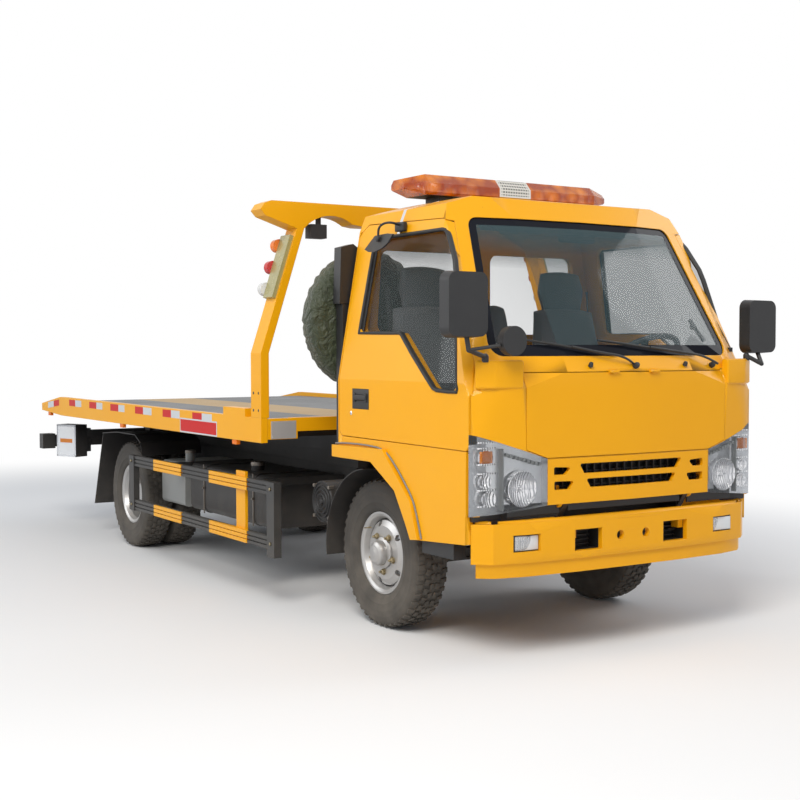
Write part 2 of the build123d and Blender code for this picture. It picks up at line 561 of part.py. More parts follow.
# Deck floor: plate with a seam behind the winch, bent down behind the hump
FLOOR_T = 6
floor_top = [(DECK_X1 - 52, DECK_FLOOR_Z), (HUMP_X, DECK_FLOOR_Z), (-DECK_TAIL + 31, 985)]
floor_loop = floor_top + [(x, z - FLOOR_T) for x, z in reversed(floor_top)]
floor = side_prism(floor_loop, RUN - rail_inner, rail_inner - RUN)
SEAM_X = -1302
floor -= box(SEAM_X - 2, SEAM_X + 2, -rail_inner, rail_inner, DECK_FLOOR_Z - 2, DECK_FLOOR_Z + 5)
save("deck_floor", floor)

# Deck frame: two long beams that slide on the sub-frame, cross members and the ram's rod
deck = []
for side in (1, -1):
    beam = sorted((side * (TILT_Y - TILT_BEAM_W / 2), side * (TILT_Y + TILT_BEAM_W / 2)))
    deck.append(box(-4640, DECK_X1 - 60, beam[0], beam[1], DECK_BEAM_Z0, DECK_BEAM_Z1 + 5))
    slide = sorted((side * (TILT_Y + TILT_BEAM_W / 2 + 1), side * (TILT_Y + TILT_BEAM_W / 2 + 6)))
    deck.append(box(-4640, DECK_X1 - 60, slide[0], slide[1], 828, DECK_BEAM_Z1))
span = rail_inner - RUN
for x in [-860 - 390 * i for i in range(10)]:
    deck.append(box(x - 30, x + 30, -span, span, DECK_BEAM_Z1, DECK_FLOOR_Z - FLOOR_T - RUN))
deck.append(box(-4900, -4850, -span, span, 945, 978))
for y in (-700, 0, 700):
    deck.append(side_prism([(-4870, 950), (-4870, 975), (-4390, 1030), (-4390, 960)], y - 20, y + 20))
LUG_X = -3960
deck.append(box(LUG_X - 60, LUG_X + 30, -30, 30, RAM_Z - 35, DECK_BEAM_Z1 + 30))
deck.append(box(LUG_X - 60, LUG_X + 30, -TILT_Y, TILT_Y, 948, DECK_BEAM_Z1 + 30))
deck.append(rod((LUG_X, 0, RAM_Z), (BARREL_X[1] - 120, 0, RAM_Z), RAM_R))
save("deck_frame", fused(deck))

# Front beam of the deck with a box for a plate at each end
BEAM_HALF = DECK_HALF_W - 195
front_beam = box(DECK_X1 - 50, DECK_X1, -BEAM_HALF, BEAM_HALF, 990, 1068)
for side in (1, -1):
    end = sorted((side * (BEAM_HALF - 35), side * (rail_inner - RUN)))
    front_beam += box(DECK_X1 - 50, DECK_X1, end[0], end[1], 948, 1066)
save("deck_front_beam", front_beam)

# Headframe: leaning posts under a crosshead with drooping tips, cut from plate on one profile
HEAD_X = (-905, DECK_X1)
POST_T = 50
POST_LEAN = 231
POST_TOP_Y = DECK_HALF_W - POST_LEAN
HEAD_OUT = [(DECK_HALF_W, SIDE_RAIL_Z1 + RUN), (DECK_HALF_W, 1435), (POST_TOP_Y, 2141)]
HEAD_OUT += [(DECK_HALF_W - 34, 2205), (DECK_HALF_W - 4, 2238), (DECK_HALF_W - 30, 2275)]
HEAD_OUT += [(DECK_HALF_W - 72, 2291), (0, 2293)]
HEAD_IN = [(0, 2172), (POST_TOP_Y - 422, 2172)]
ARCH = [(POST_TOP_Y - 365, 2180), (POST_TOP_Y - 204, 2222), (POST_TOP_Y - 47, 2143)]
FOOT = [(DECK_HALF_W - POST_T, 1435), (DECK_HALF_W - POST_T, SIDE_RAIL_Z1 + RUN)]
outer_edges = Polyline(*HEAD_OUT)
inner_edges = Polyline(*HEAD_IN, ARCH[0])
arch = ThreePointArc(*ARCH)
foot_edges = Polyline(ARCH[2], *FOOT, HEAD_OUT[0])
middle = Line(HEAD_OUT[-1], HEAD_IN[0])
head_edges = [*outer_edges.edges(), middle.edges()[0], *inner_edges.edges(), arch.edges()[0]]
profile = make_face(Wire([*head_edges, *foot_edges.edges()]))
half_head = extrude(yz(HEAD_X[0]) * profile, HEAD_X[1] - HEAD_X[0])
save("headframe", half_head + flip(half_head))

# Lamps on the deck: panels on the leaning posts, lamps under the crosshead, markers under the rails
lean = (POST_LEAN, 2141 - 1435)
lean_len = sqrt(lean[0] ** 2 + lean[1] ** 2)
out_y, out_z = lean[1] / lean_len, lean[0] / lean_len


def post_face(z, gap):
    """A point (y, z) of the leaning post's outer face, moved out by gap."""
    y = DECK_HALF_W - lean[0] * (z - 1435) / lean[1]
    return (y + out_y * gap, z + out_z * gap)


PANEL_Z = (1744, 2099)
panel_loop = [post_face(PANEL_Z[0], RUN), post_face(PANEL_Z[1], RUN)]
panel_loop += [post_face(PANEL_Z[1], 24), post_face(PANEL_Z[0], 24)]
lamps = front_prism(panel_loop, HEAD_X[0] - RUN, HEAD_X[1] - 14)
for z in (1795, 1920, 2045):
    y, lamp_z = post_face(z, 16)
    lamps += rod((HEAD_X[0] - 42, y, lamp_z), (HEAD_X[0] - RUN, y, lamp_z), 38)
WORK_LAMP_Y = (POST_TOP_Y - 207, POST_TOP_Y - 103)
stem = box(-850, -820, WORK_LAMP_Y[0] + 28, WORK_LAMP_Y[0] + 48, 2170, 2240) - half_head
lamps += box(-870, -800, WORK_LAMP_Y[0], WORK_LAMP_Y[1], 2095, 2174) + stem.solids()[0]
markers = [Pos(x, DECK_HALF_W - 14, SIDE_RAIL_Z0 - 14 + lift) * Box(60, 24, 27)
           for x, lift in ((-1138, 0.3), (-3044, 0.3), (-4757, 14.6))]
save("deck_lamps", *both(lamps), *[piece for m in markers for piece in both(m)])

# Winch: side plates on a base, and a flanged drum on its shaft between them
WINCH_X, WINCH_Z = -1110, 1175
WINCH_Y = 190
base = box(WINCH_X - 140, WINCH_X + 140, -WINCH_Y - 20, WINCH_Y + 20, DECK_FLOOR_Z + RUN, DECK_FLOOR_Z + 12)
plate = [(WINCH_X - 120, DECK_FLOOR_Z + 5), (WINCH_X + 120, DECK_FLOOR_Z + 5), (WINCH_X + 60, WINCH_Z + 80)]
plate += [(WINCH_X - 60, WINCH_Z + 80)]
for side in (1, -1):
    span = sorted((side * (WINCH_Y - 10), side * (WINCH_Y + 8)))
    base += side_prism(plate, span[0], span[1])
base += disc(WINCH_X, WINCH_Z, WINCH_Y + 5, WINCH_Y + 130, 62)
base -= disc(WINCH_X, WINCH_Z, -WINCH_Y - 20, WINCH_Y + 9, 22 + RUN)
save("winch_frame", base)
drum = disc(WINCH_X, WINCH_Z, -WINCH_Y - 8, WINCH_Y + 8, 22) + disc(WINCH_X, WINCH_Z, -150, 150, 62)
for y in (-160, 150):
    drum += disc(WINCH_X, WINCH_Z, y, y + 10, 108)
save("winch_drum", drum)

# Cab body: the meeting of a side, a front and two plan outlines, each pulled in for the inner skins
CAB_SIDE = [(CAB_REAR_X, 880), (CAB_REAR_X, 2192), (-60, 2230), (300, 2240), (FRONT_REACH - 505, 2205)]
CAB_SIDE += [(FRONT_REACH - 305, 2140), (FRONT_REACH - 1, 1400), (FRONT_REACH + 3, 1250)]
CAB_SIDE += [(FRONT_REACH - 1, 728), (FRONT_REACH - 25, 692), (FRONT_REACH - 130, 692)]
CAB_SIDE += [(FRONT_REACH - 130, 560), (512, 532)]
CAB_SIDE += [(503, 531), (449, 622), (357, 759), (127, 880)]
ROOF_EDGE = [(CAB_HALF_W - 135, 2080), (CAB_HALF_W - 170, 2165), (CAB_HALF_W - 345, 2215)]
CAB_FRONT = [(-CAB_HALF_W, 400), (-CAB_HALF_W, 1300)] + [(-y, z) for y, z in ROOF_EDGE] + [(0, 2244)]
CAB_FRONT += ROOF_EDGE[::-1] + [(CAB_HALF_W, 1300), (CAB_HALF_W, 400)]
CORNER_X = FRONT_REACH - 103
CAB_PLAN = [(FRONT_REACH - 3, 0), (FRONT_REACH - 19, CAB_HALF_W - 267), (FRONT_REACH - 47, CAB_HALF_W - 105)]
CAB_PLAN += [(CORNER_X, CAB_HALF_W), (CORNER_X, CAB_HALF_W + 195), (-500, CAB_HALF_W + 195)]
SCREEN_PLAN = [(FRONT_REACH - 33, 0), (FRONT_REACH - 53, 400), (FRONT_REACH - 125, CAB_HALF_W - 134)]
SCREEN_PLAN += [(FRONT_REACH - 165, CAB_HALF_W - 55), (FRONT_REACH - 245, CAB_HALF_W + 55)]
SCREEN_PLAN += [(FRONT_REACH - 245, CAB_HALF_W + 395), (-1600, CAB_HALF_W + 395)]
SCREEN_Z = 1422
SCREEN_LEAN = (-374, 675)


def closed_plan(points):
    return points[1:] + [(x, -y) for x, y in reversed(points[1:])] + [points[0]]


def pulled_in(plane, points, inset):
    face = outline(points)
    return plane * (offset(face, amount=-inset, kind=Kind.INTERSECTION) if inset else face)


def cab_width(inset):
    return extrude(pulled_in(yz(-500), CAB_FRONT, inset), 1800)


def cab_block(inset):
    """The cab's outer form, pulled in by inset on every side."""
    block = extrude(pulled_in(xz(CAB_BOX_Y), CAB_SIDE, inset), 2 * CAB_BOX_Y) & cab_width(inset)
    block &= extrude(pulled_in(Plane.XY.offset(400), closed_plan(CAB_PLAN), inset), 2000)
    lean_plane = Plane.XY.offset(SCREEN_Z)
    screen = pulled_in(lean_plane, closed_plan(SCREEN_PLAN), inset)
    direction = (SCREEN_LEAN[0], 0, SCREEN_LEAN[1])
    slanted = extrude(screen, 1200, dir=direction) + extrude(screen, -1200, dir=direction)
    return block & slanted


skin = cab_block(0)
inner_skin = cab_block(CAB_WALL)
side_layer = skin - cab_width(CAB_WALL)
BULKHEAD_X = (FRONT_REACH - 135, FRONT_REACH - 115)
cavity = inner_skin & box(-300, BULKHEAD_X[0], -CAB_BOX_Y, CAB_BOX_Y, 700, 2300)
cavity -= box(-300, 480, -CAB_BOX_Y, CAB_BOX_Y, 700, 925)
cavity -= box(-300, FRONT_REACH - 65, -CAB_BOX_Y, CAB_BOX_Y, 700, 812)
service = inner_skin & box(BULKHEAD_X[1], CUT_X[1], -CAB_BOX_Y, CAB_BOX_Y, 700, 1330)
shell = skin - cavity - service
shell -= box(-300, CUT_X[1], -CAB_INNER_Y, CAB_INNER_Y, 400, 770)
shell -= box(-300, 470, -CAB_INNER_Y, CAB_INNER_Y, 400, 880)
shell -= box(BULKHEAD_X[1], CUT_X[1], -517, 517, 700, 945)
shell -= box(BULKHEAD_X[1], FRONT_REACH - 53, -CAB_INNER_Y, CAB_INNER_Y, 700, 1330) & inner_skin

# Openings in the cab's skins: windscreen, rear windows, doors, front lid and lamps
SCREEN_Y = (CAB_HALF_W - 134, CAB_HALF_W - 253)
SCREEN = [(-SCREEN_Y[0], SCREEN_Z), (SCREEN_Y[0], SCREEN_Z), (SCREEN_Y[1], 2097), (-SCREEN_Y[1], 2097)]
REAR_WINDOW = [(60, 1540), (CAB_HALF_W - 215, 1540), (CAB_HALF_W - 245, 1990), (60, 1990)]
DOOR = [(-226, 1001), (CORNER_X, 991), (CORNER_X, 1262), (CORNER_X - 188, 1834), (CORNER_X - 272, 2004)]
DOOR += [(CORNER_X - 402, 2086), (-160, 2112), (-226, 2060)]
DOOR_WINDOW = [(-89, 1544), (321, 1536), (CORNER_X - 274, 1263), (CORNER_X - 86, 1255)]
DOOR_WINDOW += [(CORNER_X - 244, 1837), (CORNER_X - 372, 2034), (-66, 2034)]
DOOR_CUT_Y = (-CAB_BOX_Y, 345 - CAB_HALF_W)
LID = [(-638, 1345), (-638, 992), (-519, 950), (519, 950), (638, 992), (638, 1345)]
LAMP_OUTLINE = [(519, 730), (CAB_HALF_W - 5, 692), (CAB_HALF_W + 25, 692), (CAB_HALF_W + 25, 1072)]
LAMP_OUTLINE += [(CAB_HALF_W - 25, 1062), (519, 947)]
SCREEN_CUT_X = (FRONT_REACH - 635, CUT_X[1])
LAMP_CUT_X = FRONT_REACH - 125
GLASS_T = 5


def grown(points, amount, radius=0):
    return offset(outline(points, radius), amount=amount, kind=Kind.INTERSECTION)


def side_cut(points, amount, radius, y0, y1):
    return extrude(xz(y1) * grown(points, amount, radius), y1 - y0)


def front_cut(points, amount, radius, x0, x1):
    return extrude(yz(x0) * grown(points, amount, radius), x1 - x0)


shell -= front_cut(SCREEN, 0, 60, *SCREEN_CUT_X)
rear_holes = [front_cut(REAR_WINDOW, 0, 50, CAB_REAR_X - 20, CAB_REAR_X + 60)]
shell -= fused([rear_holes[0], flip(rear_holes[0])])
door_hole = side_cut(DOOR, DOOR_GAP, 30, *DOOR_CUT_Y) - cab_width(CAB_WALL + 1)
shell -= door_hole
shell -= flip(door_hole)
lid_layer = skin - cab_block(22)
shell -= front_cut(LID, 3, 12, *CUT_X) - cab_block(25)
LID_REST = 14
FLANGE_TOP = 1240
SERVICE_TOP = 1330
LID_SWING_X = FRONT_REACH - 95
LID_BOX = box(CUT_X[0], CUT_X[1], -700, 700, 700, SERVICE_TOP)
FLANGE_BOX = box(CUT_X[0], CUT_X[1], -700, 700, FLANGE_TOP, 1400)
shell -= front_cut(LID, 3, 12, LID_SWING_X, CUT_X[1]) & FLANGE_BOX
shell -= front_cut(LID, -LID_REST, 8, BULKHEAD_X[1], CUT_X[1]) & LID_BOX
lamp_layer = skin - inner_skin
lamp_hole = front_cut(LAMP_OUTLINE, RUN, 0, LAMP_CUT_X, CUT_X[1])
shell -= lamp_hole
shell -= flip(lamp_hole)
CORNER_PLAN = [(FRONT_REACH - 13, CAB_HALF_W - 250), (FRONT_REACH - 33, CAB_HALF_W - 105)]
CORNER_PLAN += [(FRONT_REACH - 75, CAB_HALF_W - 25), (FRONT_REACH - 95, CAB_HALF_W - 25)]
CORNER_PLAN += [(FRONT_REACH - 95, CAB_HALF_W - 185), (FRONT_REACH - 65, CAB_HALF_W - 250)]
corner = chamfer(plan_prism(CORNER_PLAN, 1275, 1405).edges(), 9) - cab_block(10)
shell += corner.solids()[0]
shell += flip(corner.solids()[0])
for side in (1, -1):
    lug_y = sorted((side * 408, side * 428))
    lug = disc(CAB_PIVOT_X, CAB_PIVOT_Z, lug_y[0], lug_y[1], CAB_LUG_R)
    lug += box(CAB_PIVOT_X - 28, CAB_PIVOT_X, lug_y[0], lug_y[1], CAB_PIVOT_Z, 790)
    lug += box(BULKHEAD_X[0], CAB_PIVOT_X, lug_y[0], lug_y[1], 770, 812)
    pin_y = sorted((side * 374, side * 428))
    shell += lug + disc(CAB_PIVOT_X, CAB_PIVOT_Z, pin_y[0], pin_y[1], CAB_PIVOT_R)
LID_HINGE = (FRONT_REACH + 3, 1348)
HINGE_PIN_R = 3.5
lid_hinges = []
for y in (-130, 130):
    shell += disc(*LID_HINGE, y - 30, y + 30, HINGE_PIN_R)
    for y0, y1 in ((y - 30, y - 11), (y + 11, y + 30)):
        shell += disc(*LID_HINGE, y0, y1, 7)
        shell += box(LID_HINGE[0] - 28, LID_HINGE[0], y0, y1, LID_HINGE[1] + 1, LID_HINGE[1] + 7)
    leaf = disc(*LID_HINGE, y - 10, y + 10, 7)
    leaf += box(LID_HINGE[0] - 26, LID_HINGE[0], y - 10, y + 10, LID_HINGE[1] - 12, LID_HINGE[1] - 5)
    lid_hinges.append(leaf - disc(*LID_HINGE, y - 20, y + 20, HINGE_PIN_R + RUN))
save("cab_shell", shell)

# Arch flares over the front wheels
FLARE = [(-272, 885), (127, 885), (357, 759), (449, 622), (503, 533), (566, 540), (497, 722), (240, 955)]
FLARE += [(-272, 948)]
flare = side_prism(FLARE, -CAB_HALF_W - 23, -CAB_HALF_W - RUN)
save("arch_flares", *both(flare))

# Doors, as thick as the cab's side, with their glass
door = side_layer & side_prism(DOOR, *DOOR_CUT_Y, 30)
door -= side_prism(DOOR_WINDOW, *DOOR_CUT_Y, 40)
glass = (cab_width(18) - cab_width(18 + GLASS_T)) & side_cut(DOOR_WINDOW, -RUN, 40, *DOOR_CUT_Y)
for shape, piece in ((door, "door"), (glass, "door_glass")):
    save(f"{piece}_right", shape)
    save(f"{piece}_left", flip(shape))

# Front lid, grille and headlamps, each cut from the cab's own front skin
save("front_lid", fused([lid_layer & front_cut(LID, 0, 12, *CUT_X), *lid_hinges]))
GRILLE_SLOTS = [[(-330, 915), (-300, 868), (300, 868), (330, 915)]]
GRILLE_SLOTS += [[(-290, 842), (-262, 800), (262, 800), (290, 842)]]
GRILLE_SLOTS += [[(375, 900), (480, 905), (480, 868), (410, 868)]]
GRILLE_SLOTS += [[(360, 835), (478, 838), (478, 798), (385, 798)]]
GRILLE_X = (FRONT_REACH - 65, CUT_X[1])
grille = lid_layer & box(GRILLE_X[0], GRILLE_X[1], -516, 516, 730, 944)
for slot in GRILLE_SLOTS:
    hole = front_prism(slot, *GRILLE_X, 8)
    grille -= hole
    grille -= flip(hole)
for y in (-500, 500):
    grille += box(BULKHEAD_X[1] + RUN, FRONT_REACH - 21, y - 12, y + 12, 816, 860)
save("grille", grille)
headlamp = lamp_layer & front_cut(LAMP_OUTLINE, 0, 0, CORNER_X, CUT_X[1])
save("headlamps", *both(headlamp))

# Cab glass: the curved windscreen and two rear panes
screen_glass = (cab_block(8) - cab_block(8 + GLASS_T)) & front_cut(SCREEN, -RUN, 60, *SCREEN_CUT_X)
pane = front_cut(REAR_WINDOW, -RUN, 50, CAB_REAR_X + 12, CAB_REAR_X + 12 + GLASS_T)
save("cab_glass", screen_glass, *both(pane))

# Seats: a driver's seat and a passenger's seat with tall backs, and a narrow one between them
SEATS = [(470, 460, 1900), (-470, 460, 1900), (0, 300, 1700)]
SEAT_BASE_Z = 925 + RUN
seats = []
for y, width, top in SEATS:
    y0, y1 = y - width / 2, y + width / 2
    seat = side_prism([(20, SEAT_BASE_Z), (440, SEAT_BASE_Z), (440, 1130), (20, 1130)], y0 + 40, y1 - 40)
    seat += side_prism([(-40, 1128), (490, 1128), (500, 1250), (-40, 1225)], y0, y1, 30)
    seat += side_prism([(-50, 1170), (70, 1170), (-20, top - 220), (-110, top - 220)], y0, y1, 25)
    seat += side_prism([(-108, top - 235), (-18, top - 235), (-45, top), (-118, top)], y0 + 70, y1 - 70, 25)
    seats.append(seat)
save("seats", *seats)

# Dashboard across the bulkhead, with the steering column and wheel on the left
DASH = [(0, 1010), (0, 1372), (-50, 1385), (-230, 1330), (-270, 1240), (-230, 1130), (-110, 1010)]
DASH_X = BULKHEAD_X[0] - RUN
DASH_HALF_W = CAB_HALF_W - 205
dashboard = side_prism([(DASH_X + x, z) for x, z in DASH], -DASH_HALF_W, DASH_HALF_W, 12)
WHEEL_CENTRE = Vector(BULKHEAD_X[0] - 305, 450, 1408)
WHEEL_AXIS = Vector(-0.56, 0, 0.83).normalized()
column_end = WHEEL_CENTRE - WHEEL_AXIS * 300
dashboard += rod(column_end, WHEEL_CENTRE, 32)
wheel_plane = Plane(origin=WHEEL_CENTRE, z_dir=WHEEL_AXIS)
dashboard += wheel_plane * Torus(205, 15)
for turn in (0, 120, 240):
    dashboard += wheel_plane * Rot(0, 0, turn + 90) * Pos(105, 0, 0) * Box(200, 34, 16)
save("dashboard", dashboard)

# Light bar on the roof: a long lens with tapered ends on two feet
BAR_Z = (2262, 2370)
BAR_HALF = 560
BAR_END = 680
BAR_SECTION = [(-118, BAR_Z[0] + 14), (-118, 2322), (-74, BAR_Z[1]), (74, BAR_Z[1]), (118, 2322)]
BAR_SECTION += [(118, BAR_Z[0] + 14), (100, BAR_Z[0]), (-100, BAR_Z[0])]
BAR_TIP = [(0.55 * x, 2312 + 0.5 * (z - 2312)) for x, z in BAR_SECTION]
bar = side_prism(BAR_SECTION, -BAR_HALF, BAR_HALF)
for side in (1, -1):
    bar += loft([xz(side * BAR_HALF) * outline(BAR_SECTION), xz(side * BAR_END) * outline(BAR_TIP)])
    foot_y = sorted((side * 380, side * 460))
    bar += box(-70, 70, foot_y[0], foot_y[1], 2200, BAR_Z[0] + 4)
bar -= skin
save("light_bar", bar)

# Mirrors on tube arms from the cab's front corners, with a round wide-angle mirror on the right
MIRROR_FOOT = (FRONT_REACH - 65, CAB_HALF_W - 65, 1420)
KNEE_X = FRONT_REACH - 19
HEADS = [(-1, FRONT_REACH - 25, CAB_HALF_W + 79, 1654, 220, 296)]
HEADS += [(1, FRONT_REACH - 65, CAB_HALF_W + 20, 1572, 205, 280)]
mirrors = []
for side, x, y, z, width, height in HEADS:
    face = Plane(origin=(x, side * y, z), x_dir=(0, 1, 0), z_dir=(1, 0, 0))
    head = extrude(face.offset(-34) * RectangleRounded(width, height, 45), 68, taper=4)
    foot = (MIRROR_FOOT[0], side * MIRROR_FOOT[1], MIRROR_FOOT[2])
    knee = (KNEE_X, side * (y - 20), z - height / 2 - 55)
    arm = rod(foot, knee, 11) + Pos(*knee) * Sphere(11)
    arm += rod(knee, (x, side * (y - 10), z - height / 2 + 20), 11)
    arm += rod(foot, (foot[0], foot[1], foot[2] - 25), 16) + Pos(*foot) * Sphere(16)
    mirrors.append(head + arm)
ROUND = (MIRROR_REACH - 22, 142 - CAB_HALF_W, 1492)
round_mirror = rod((ROUND[0] - 22, ROUND[1], ROUND[2]), (ROUND[0] + 22, ROUND[1], ROUND[2]), 67)
round_mirror += rod((KNEE_X, 20 - HEADS[0][2], 1451), (ROUND[0], ROUND[1] - 67, ROUND[2] - 20), 8)
mirrors[0] += round_mirror
save("mirrors", mirrors[0] - shell, mirrors[1] - shell)
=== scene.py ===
import itertools
import math
import bmesh
import bpy
from mathutils import Matrix, Vector


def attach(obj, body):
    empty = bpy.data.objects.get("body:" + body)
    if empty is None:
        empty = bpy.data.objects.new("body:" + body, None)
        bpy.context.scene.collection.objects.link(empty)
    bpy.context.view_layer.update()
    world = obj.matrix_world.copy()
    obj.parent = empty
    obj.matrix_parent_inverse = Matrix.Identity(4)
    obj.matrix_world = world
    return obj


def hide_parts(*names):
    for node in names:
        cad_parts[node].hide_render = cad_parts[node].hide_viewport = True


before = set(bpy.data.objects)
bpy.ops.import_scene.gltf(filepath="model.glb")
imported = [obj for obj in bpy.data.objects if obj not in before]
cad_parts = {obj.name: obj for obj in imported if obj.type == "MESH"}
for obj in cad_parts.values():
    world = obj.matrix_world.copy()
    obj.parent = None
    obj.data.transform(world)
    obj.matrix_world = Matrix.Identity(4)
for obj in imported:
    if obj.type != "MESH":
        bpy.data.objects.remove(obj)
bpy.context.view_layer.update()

# Camera: it stands off the truck's right front corner at eye height, with a short telephoto lens.
# Sizes in this file are in mm from the front axle, as a builder of trucks measures them.
AXLE_X = 1.984  # the front axle's place along the truck, in metres
CAMERA_PLACE = (5673.6, -4229.5, 1452.3)
CAMERA_RIGHT = Vector((0.53174866, 0.84690108, -0.00138542))
CAMERA_UP = Vector((-0.03255403, 0.02207448, 0.99922618))
CAMERA_FORWARD = Vector((-0.84627631, 0.53129208, -0.03930812))


def at(x, y, z):
    """A point in the row frame from mm measured at the front axle."""
    return Vector((x / 1000 + AXLE_X, y / 1000, z / 1000))


def stood(name, data):
    """An object with its data, put into the scene."""
    made = bpy.data.objects.new(name, data)
    bpy.context.scene.collection.objects.link(made)
    return made


lens = bpy.data.cameras.new("camera")
lens.sensor_width = 36
lens.lens = 57.3
lens.clip_end = 100
camera = stood("camera", lens)
camera_turn = Matrix((CAMERA_RIGHT, CAMERA_UP, -CAMERA_FORWARD)).transposed().to_4x4()
camera.matrix_world = Matrix.Translation(at(*CAMERA_PLACE)) @ camera_turn
bpy.context.scene.camera = camera


# Studio: a plain pale floor, a room of one colour and three soft lamps high round the truck. The floor
# keeps the truck's shadow and turns white far off. The camera, gloss and clear parts see a white room.
def feed(socket, value):
    """Gives an input another node's output, or a plain number or colour."""
    if isinstance(value, bpy.types.NodeSocket):
        socket.id_data.links.new(value, socket)
    else:
        socket.default_value = value


def node_in(tree, kind, **values):
    """A new node with its inputs given by name."""
    made = tree.nodes.new(kind)
    for name, value in values.items():
        feed(made.inputs[name.replace("_", " ")], value)
    return made


def calc(kind, *values):
    """One step of arithmetic on node outputs and plain numbers."""
    tree = next(value.id_data for value in values if isinstance(value, bpy.types.NodeSocket))
    step = tree.nodes.new("ShaderNodeMath")
    step.operation = kind
    for socket, value in zip(step.inputs, values):
        feed(socket, value)
    return step.outputs[0]


def either(factor, first, second):
    """One shader or another, by a factor."""
    mix = factor.id_data.nodes.new("ShaderNodeMixShader")
    for socket, value in zip(mix.inputs, (factor, first, second)):
        feed(socket, value)
    return mix.outputs[0]


def shaded(name, **values):
    """A new material, its tree and its main shader, with that shader's plain values given by name."""
    material = bpy.data.materials.new(name)
    material.use_nodes = True
    surface = material.node_tree.nodes["Principled BSDF"]
    for key, value in values.items():
        surface.inputs[key.replace("_", " ")].default_value = value
    return material, material.node_tree, surface


def own_place(tree):
    """The object's own coordinates."""
    return tree.nodes.new("ShaderNodeTexCoord").outputs["Object"]


def soft_lamp(name, place, aim, size, power, colour):
    """A soft box at a place in metres, turned towards a point of the truck."""
    light = bpy.data.lights.new(name, "AREA")
    light.shape = "RECTANGLE"
    light.size, light.size_y = size
    light.energy = power
    light.color = colour
    holder = stood(name, light)
    holder.location = place
    holder.rotation_euler = (Vector(aim) - Vector(place)).to_track_quat("-Z", "Y").to_euler()


world = bpy.data.worlds.new("room")
bpy.context.scene.world = world
world.use_nodes = True
tree = world.node_tree
tree.nodes.clear()
ray = tree.nodes.new("ShaderNodeLightPath").outputs
fill = node_in(tree, "ShaderNodeBackground", Color=(0.84, 0.88, 0.95, 1), Strength=0.50)
seen = node_in(tree, "ShaderNodeBackground", Color=(1, 1, 1, 1), Strength=1.0)
sees_white = calc("MAXIMUM", ray["Is Camera Ray"], ray["Is Glossy Ray"])
sees_white = calc("MAXIMUM", sees_white, ray["Is Transmission Ray"])
node_in(tree, "ShaderNodeOutputWorld", Surface=either(sees_white, fill.outputs[0], seen.outputs[0]))

soft_lamp("key_lamp", (7.5, -6.5, 8.5), (0, 0, 0.8), (5, 5), 900, (1, 0.97, 0.92))
soft_lamp("side_lamp", (-5.0, -9.0, 5.0), (-0.5, 0, 0.8), (7, 4), 270, (0.95, 0.98, 1))
soft_lamp("far_lamp", (3.0, 9.0, 6.5), (0, 0, 1.0), (7, 4), 260, (1, 1, 1))

FLOOR_REACH = 40  # metres, as the two distances between which the floor turns white
WHITE_FROM = 4.2
WHITE_AT = 7.5
ground = bmesh.new()
bmesh.ops.create_grid(ground, x_segments=1, y_segments=1, size=FLOOR_REACH)
floor = stood("floor", bpy.data.meshes.new("floor"))
ground.to_mesh(floor.data)
ground.free()
floor_white, tree, surface = shaded("floor_white", Base_Color=(0.86, 0.86, 0.86, 1), Roughness=0.9,
                                    Specular_IOR_Level=0.0)
oval = node_in(tree, "ShaderNodeMapping", Vector=own_place(tree), Scale=(0.8, 1.3, 1))
reach = node_in(tree, "ShaderNodeVectorMath", Vector=oval.outputs[0])
reach.operation = "LENGTH"
far_off = node_in(tree, "ShaderNodeMapRange", Value=reach.outputs["Value"], From_Min=WHITE_FROM,
                  From_Max=WHITE_AT)
far_off.interpolation_type = "SMOOTHSTEP"
ray = tree.nodes.new("ShaderNodeLightPath").outputs
white = tree.nodes.new("ShaderNodeEmission")
whiten = calc("MULTIPLY", far_off.outputs[0], ray["Is Camera Ray"])
feed(tree.nodes["Material Output"].inputs["Surface"], either(whiten, surface.outputs[0], white.outputs[0]))
floor.data.materials.append(floor_white)
bpy.context.scene.view_settings.view_transform = "Standard"

# Cab body: pressed steel panels, welded, then sprayed yellow with a clear gloss coat. The same paint
# covers the doors, front lid, grille, bumper, arch flares, deck rails and headframe.
DUST = (0.30, 0.26, 0.21, 1)
PRESSED_SHARP = 31  # degrees, the sharpest bend that still shades as one curve
MERGE = 0.00002  # metres between corners that are one


def tones_of(factor, first, second):
    """A colour between two others, by a factor."""
    mix = factor.id_data.nodes.new("ShaderNodeMix")
    mix.data_type = "RGBA"
    feed(mix.inputs["Factor"], factor)
    feed(mix.inputs["A"], first)
    feed(mix.inputs["B"], second)
    return mix.outputs["Result"]


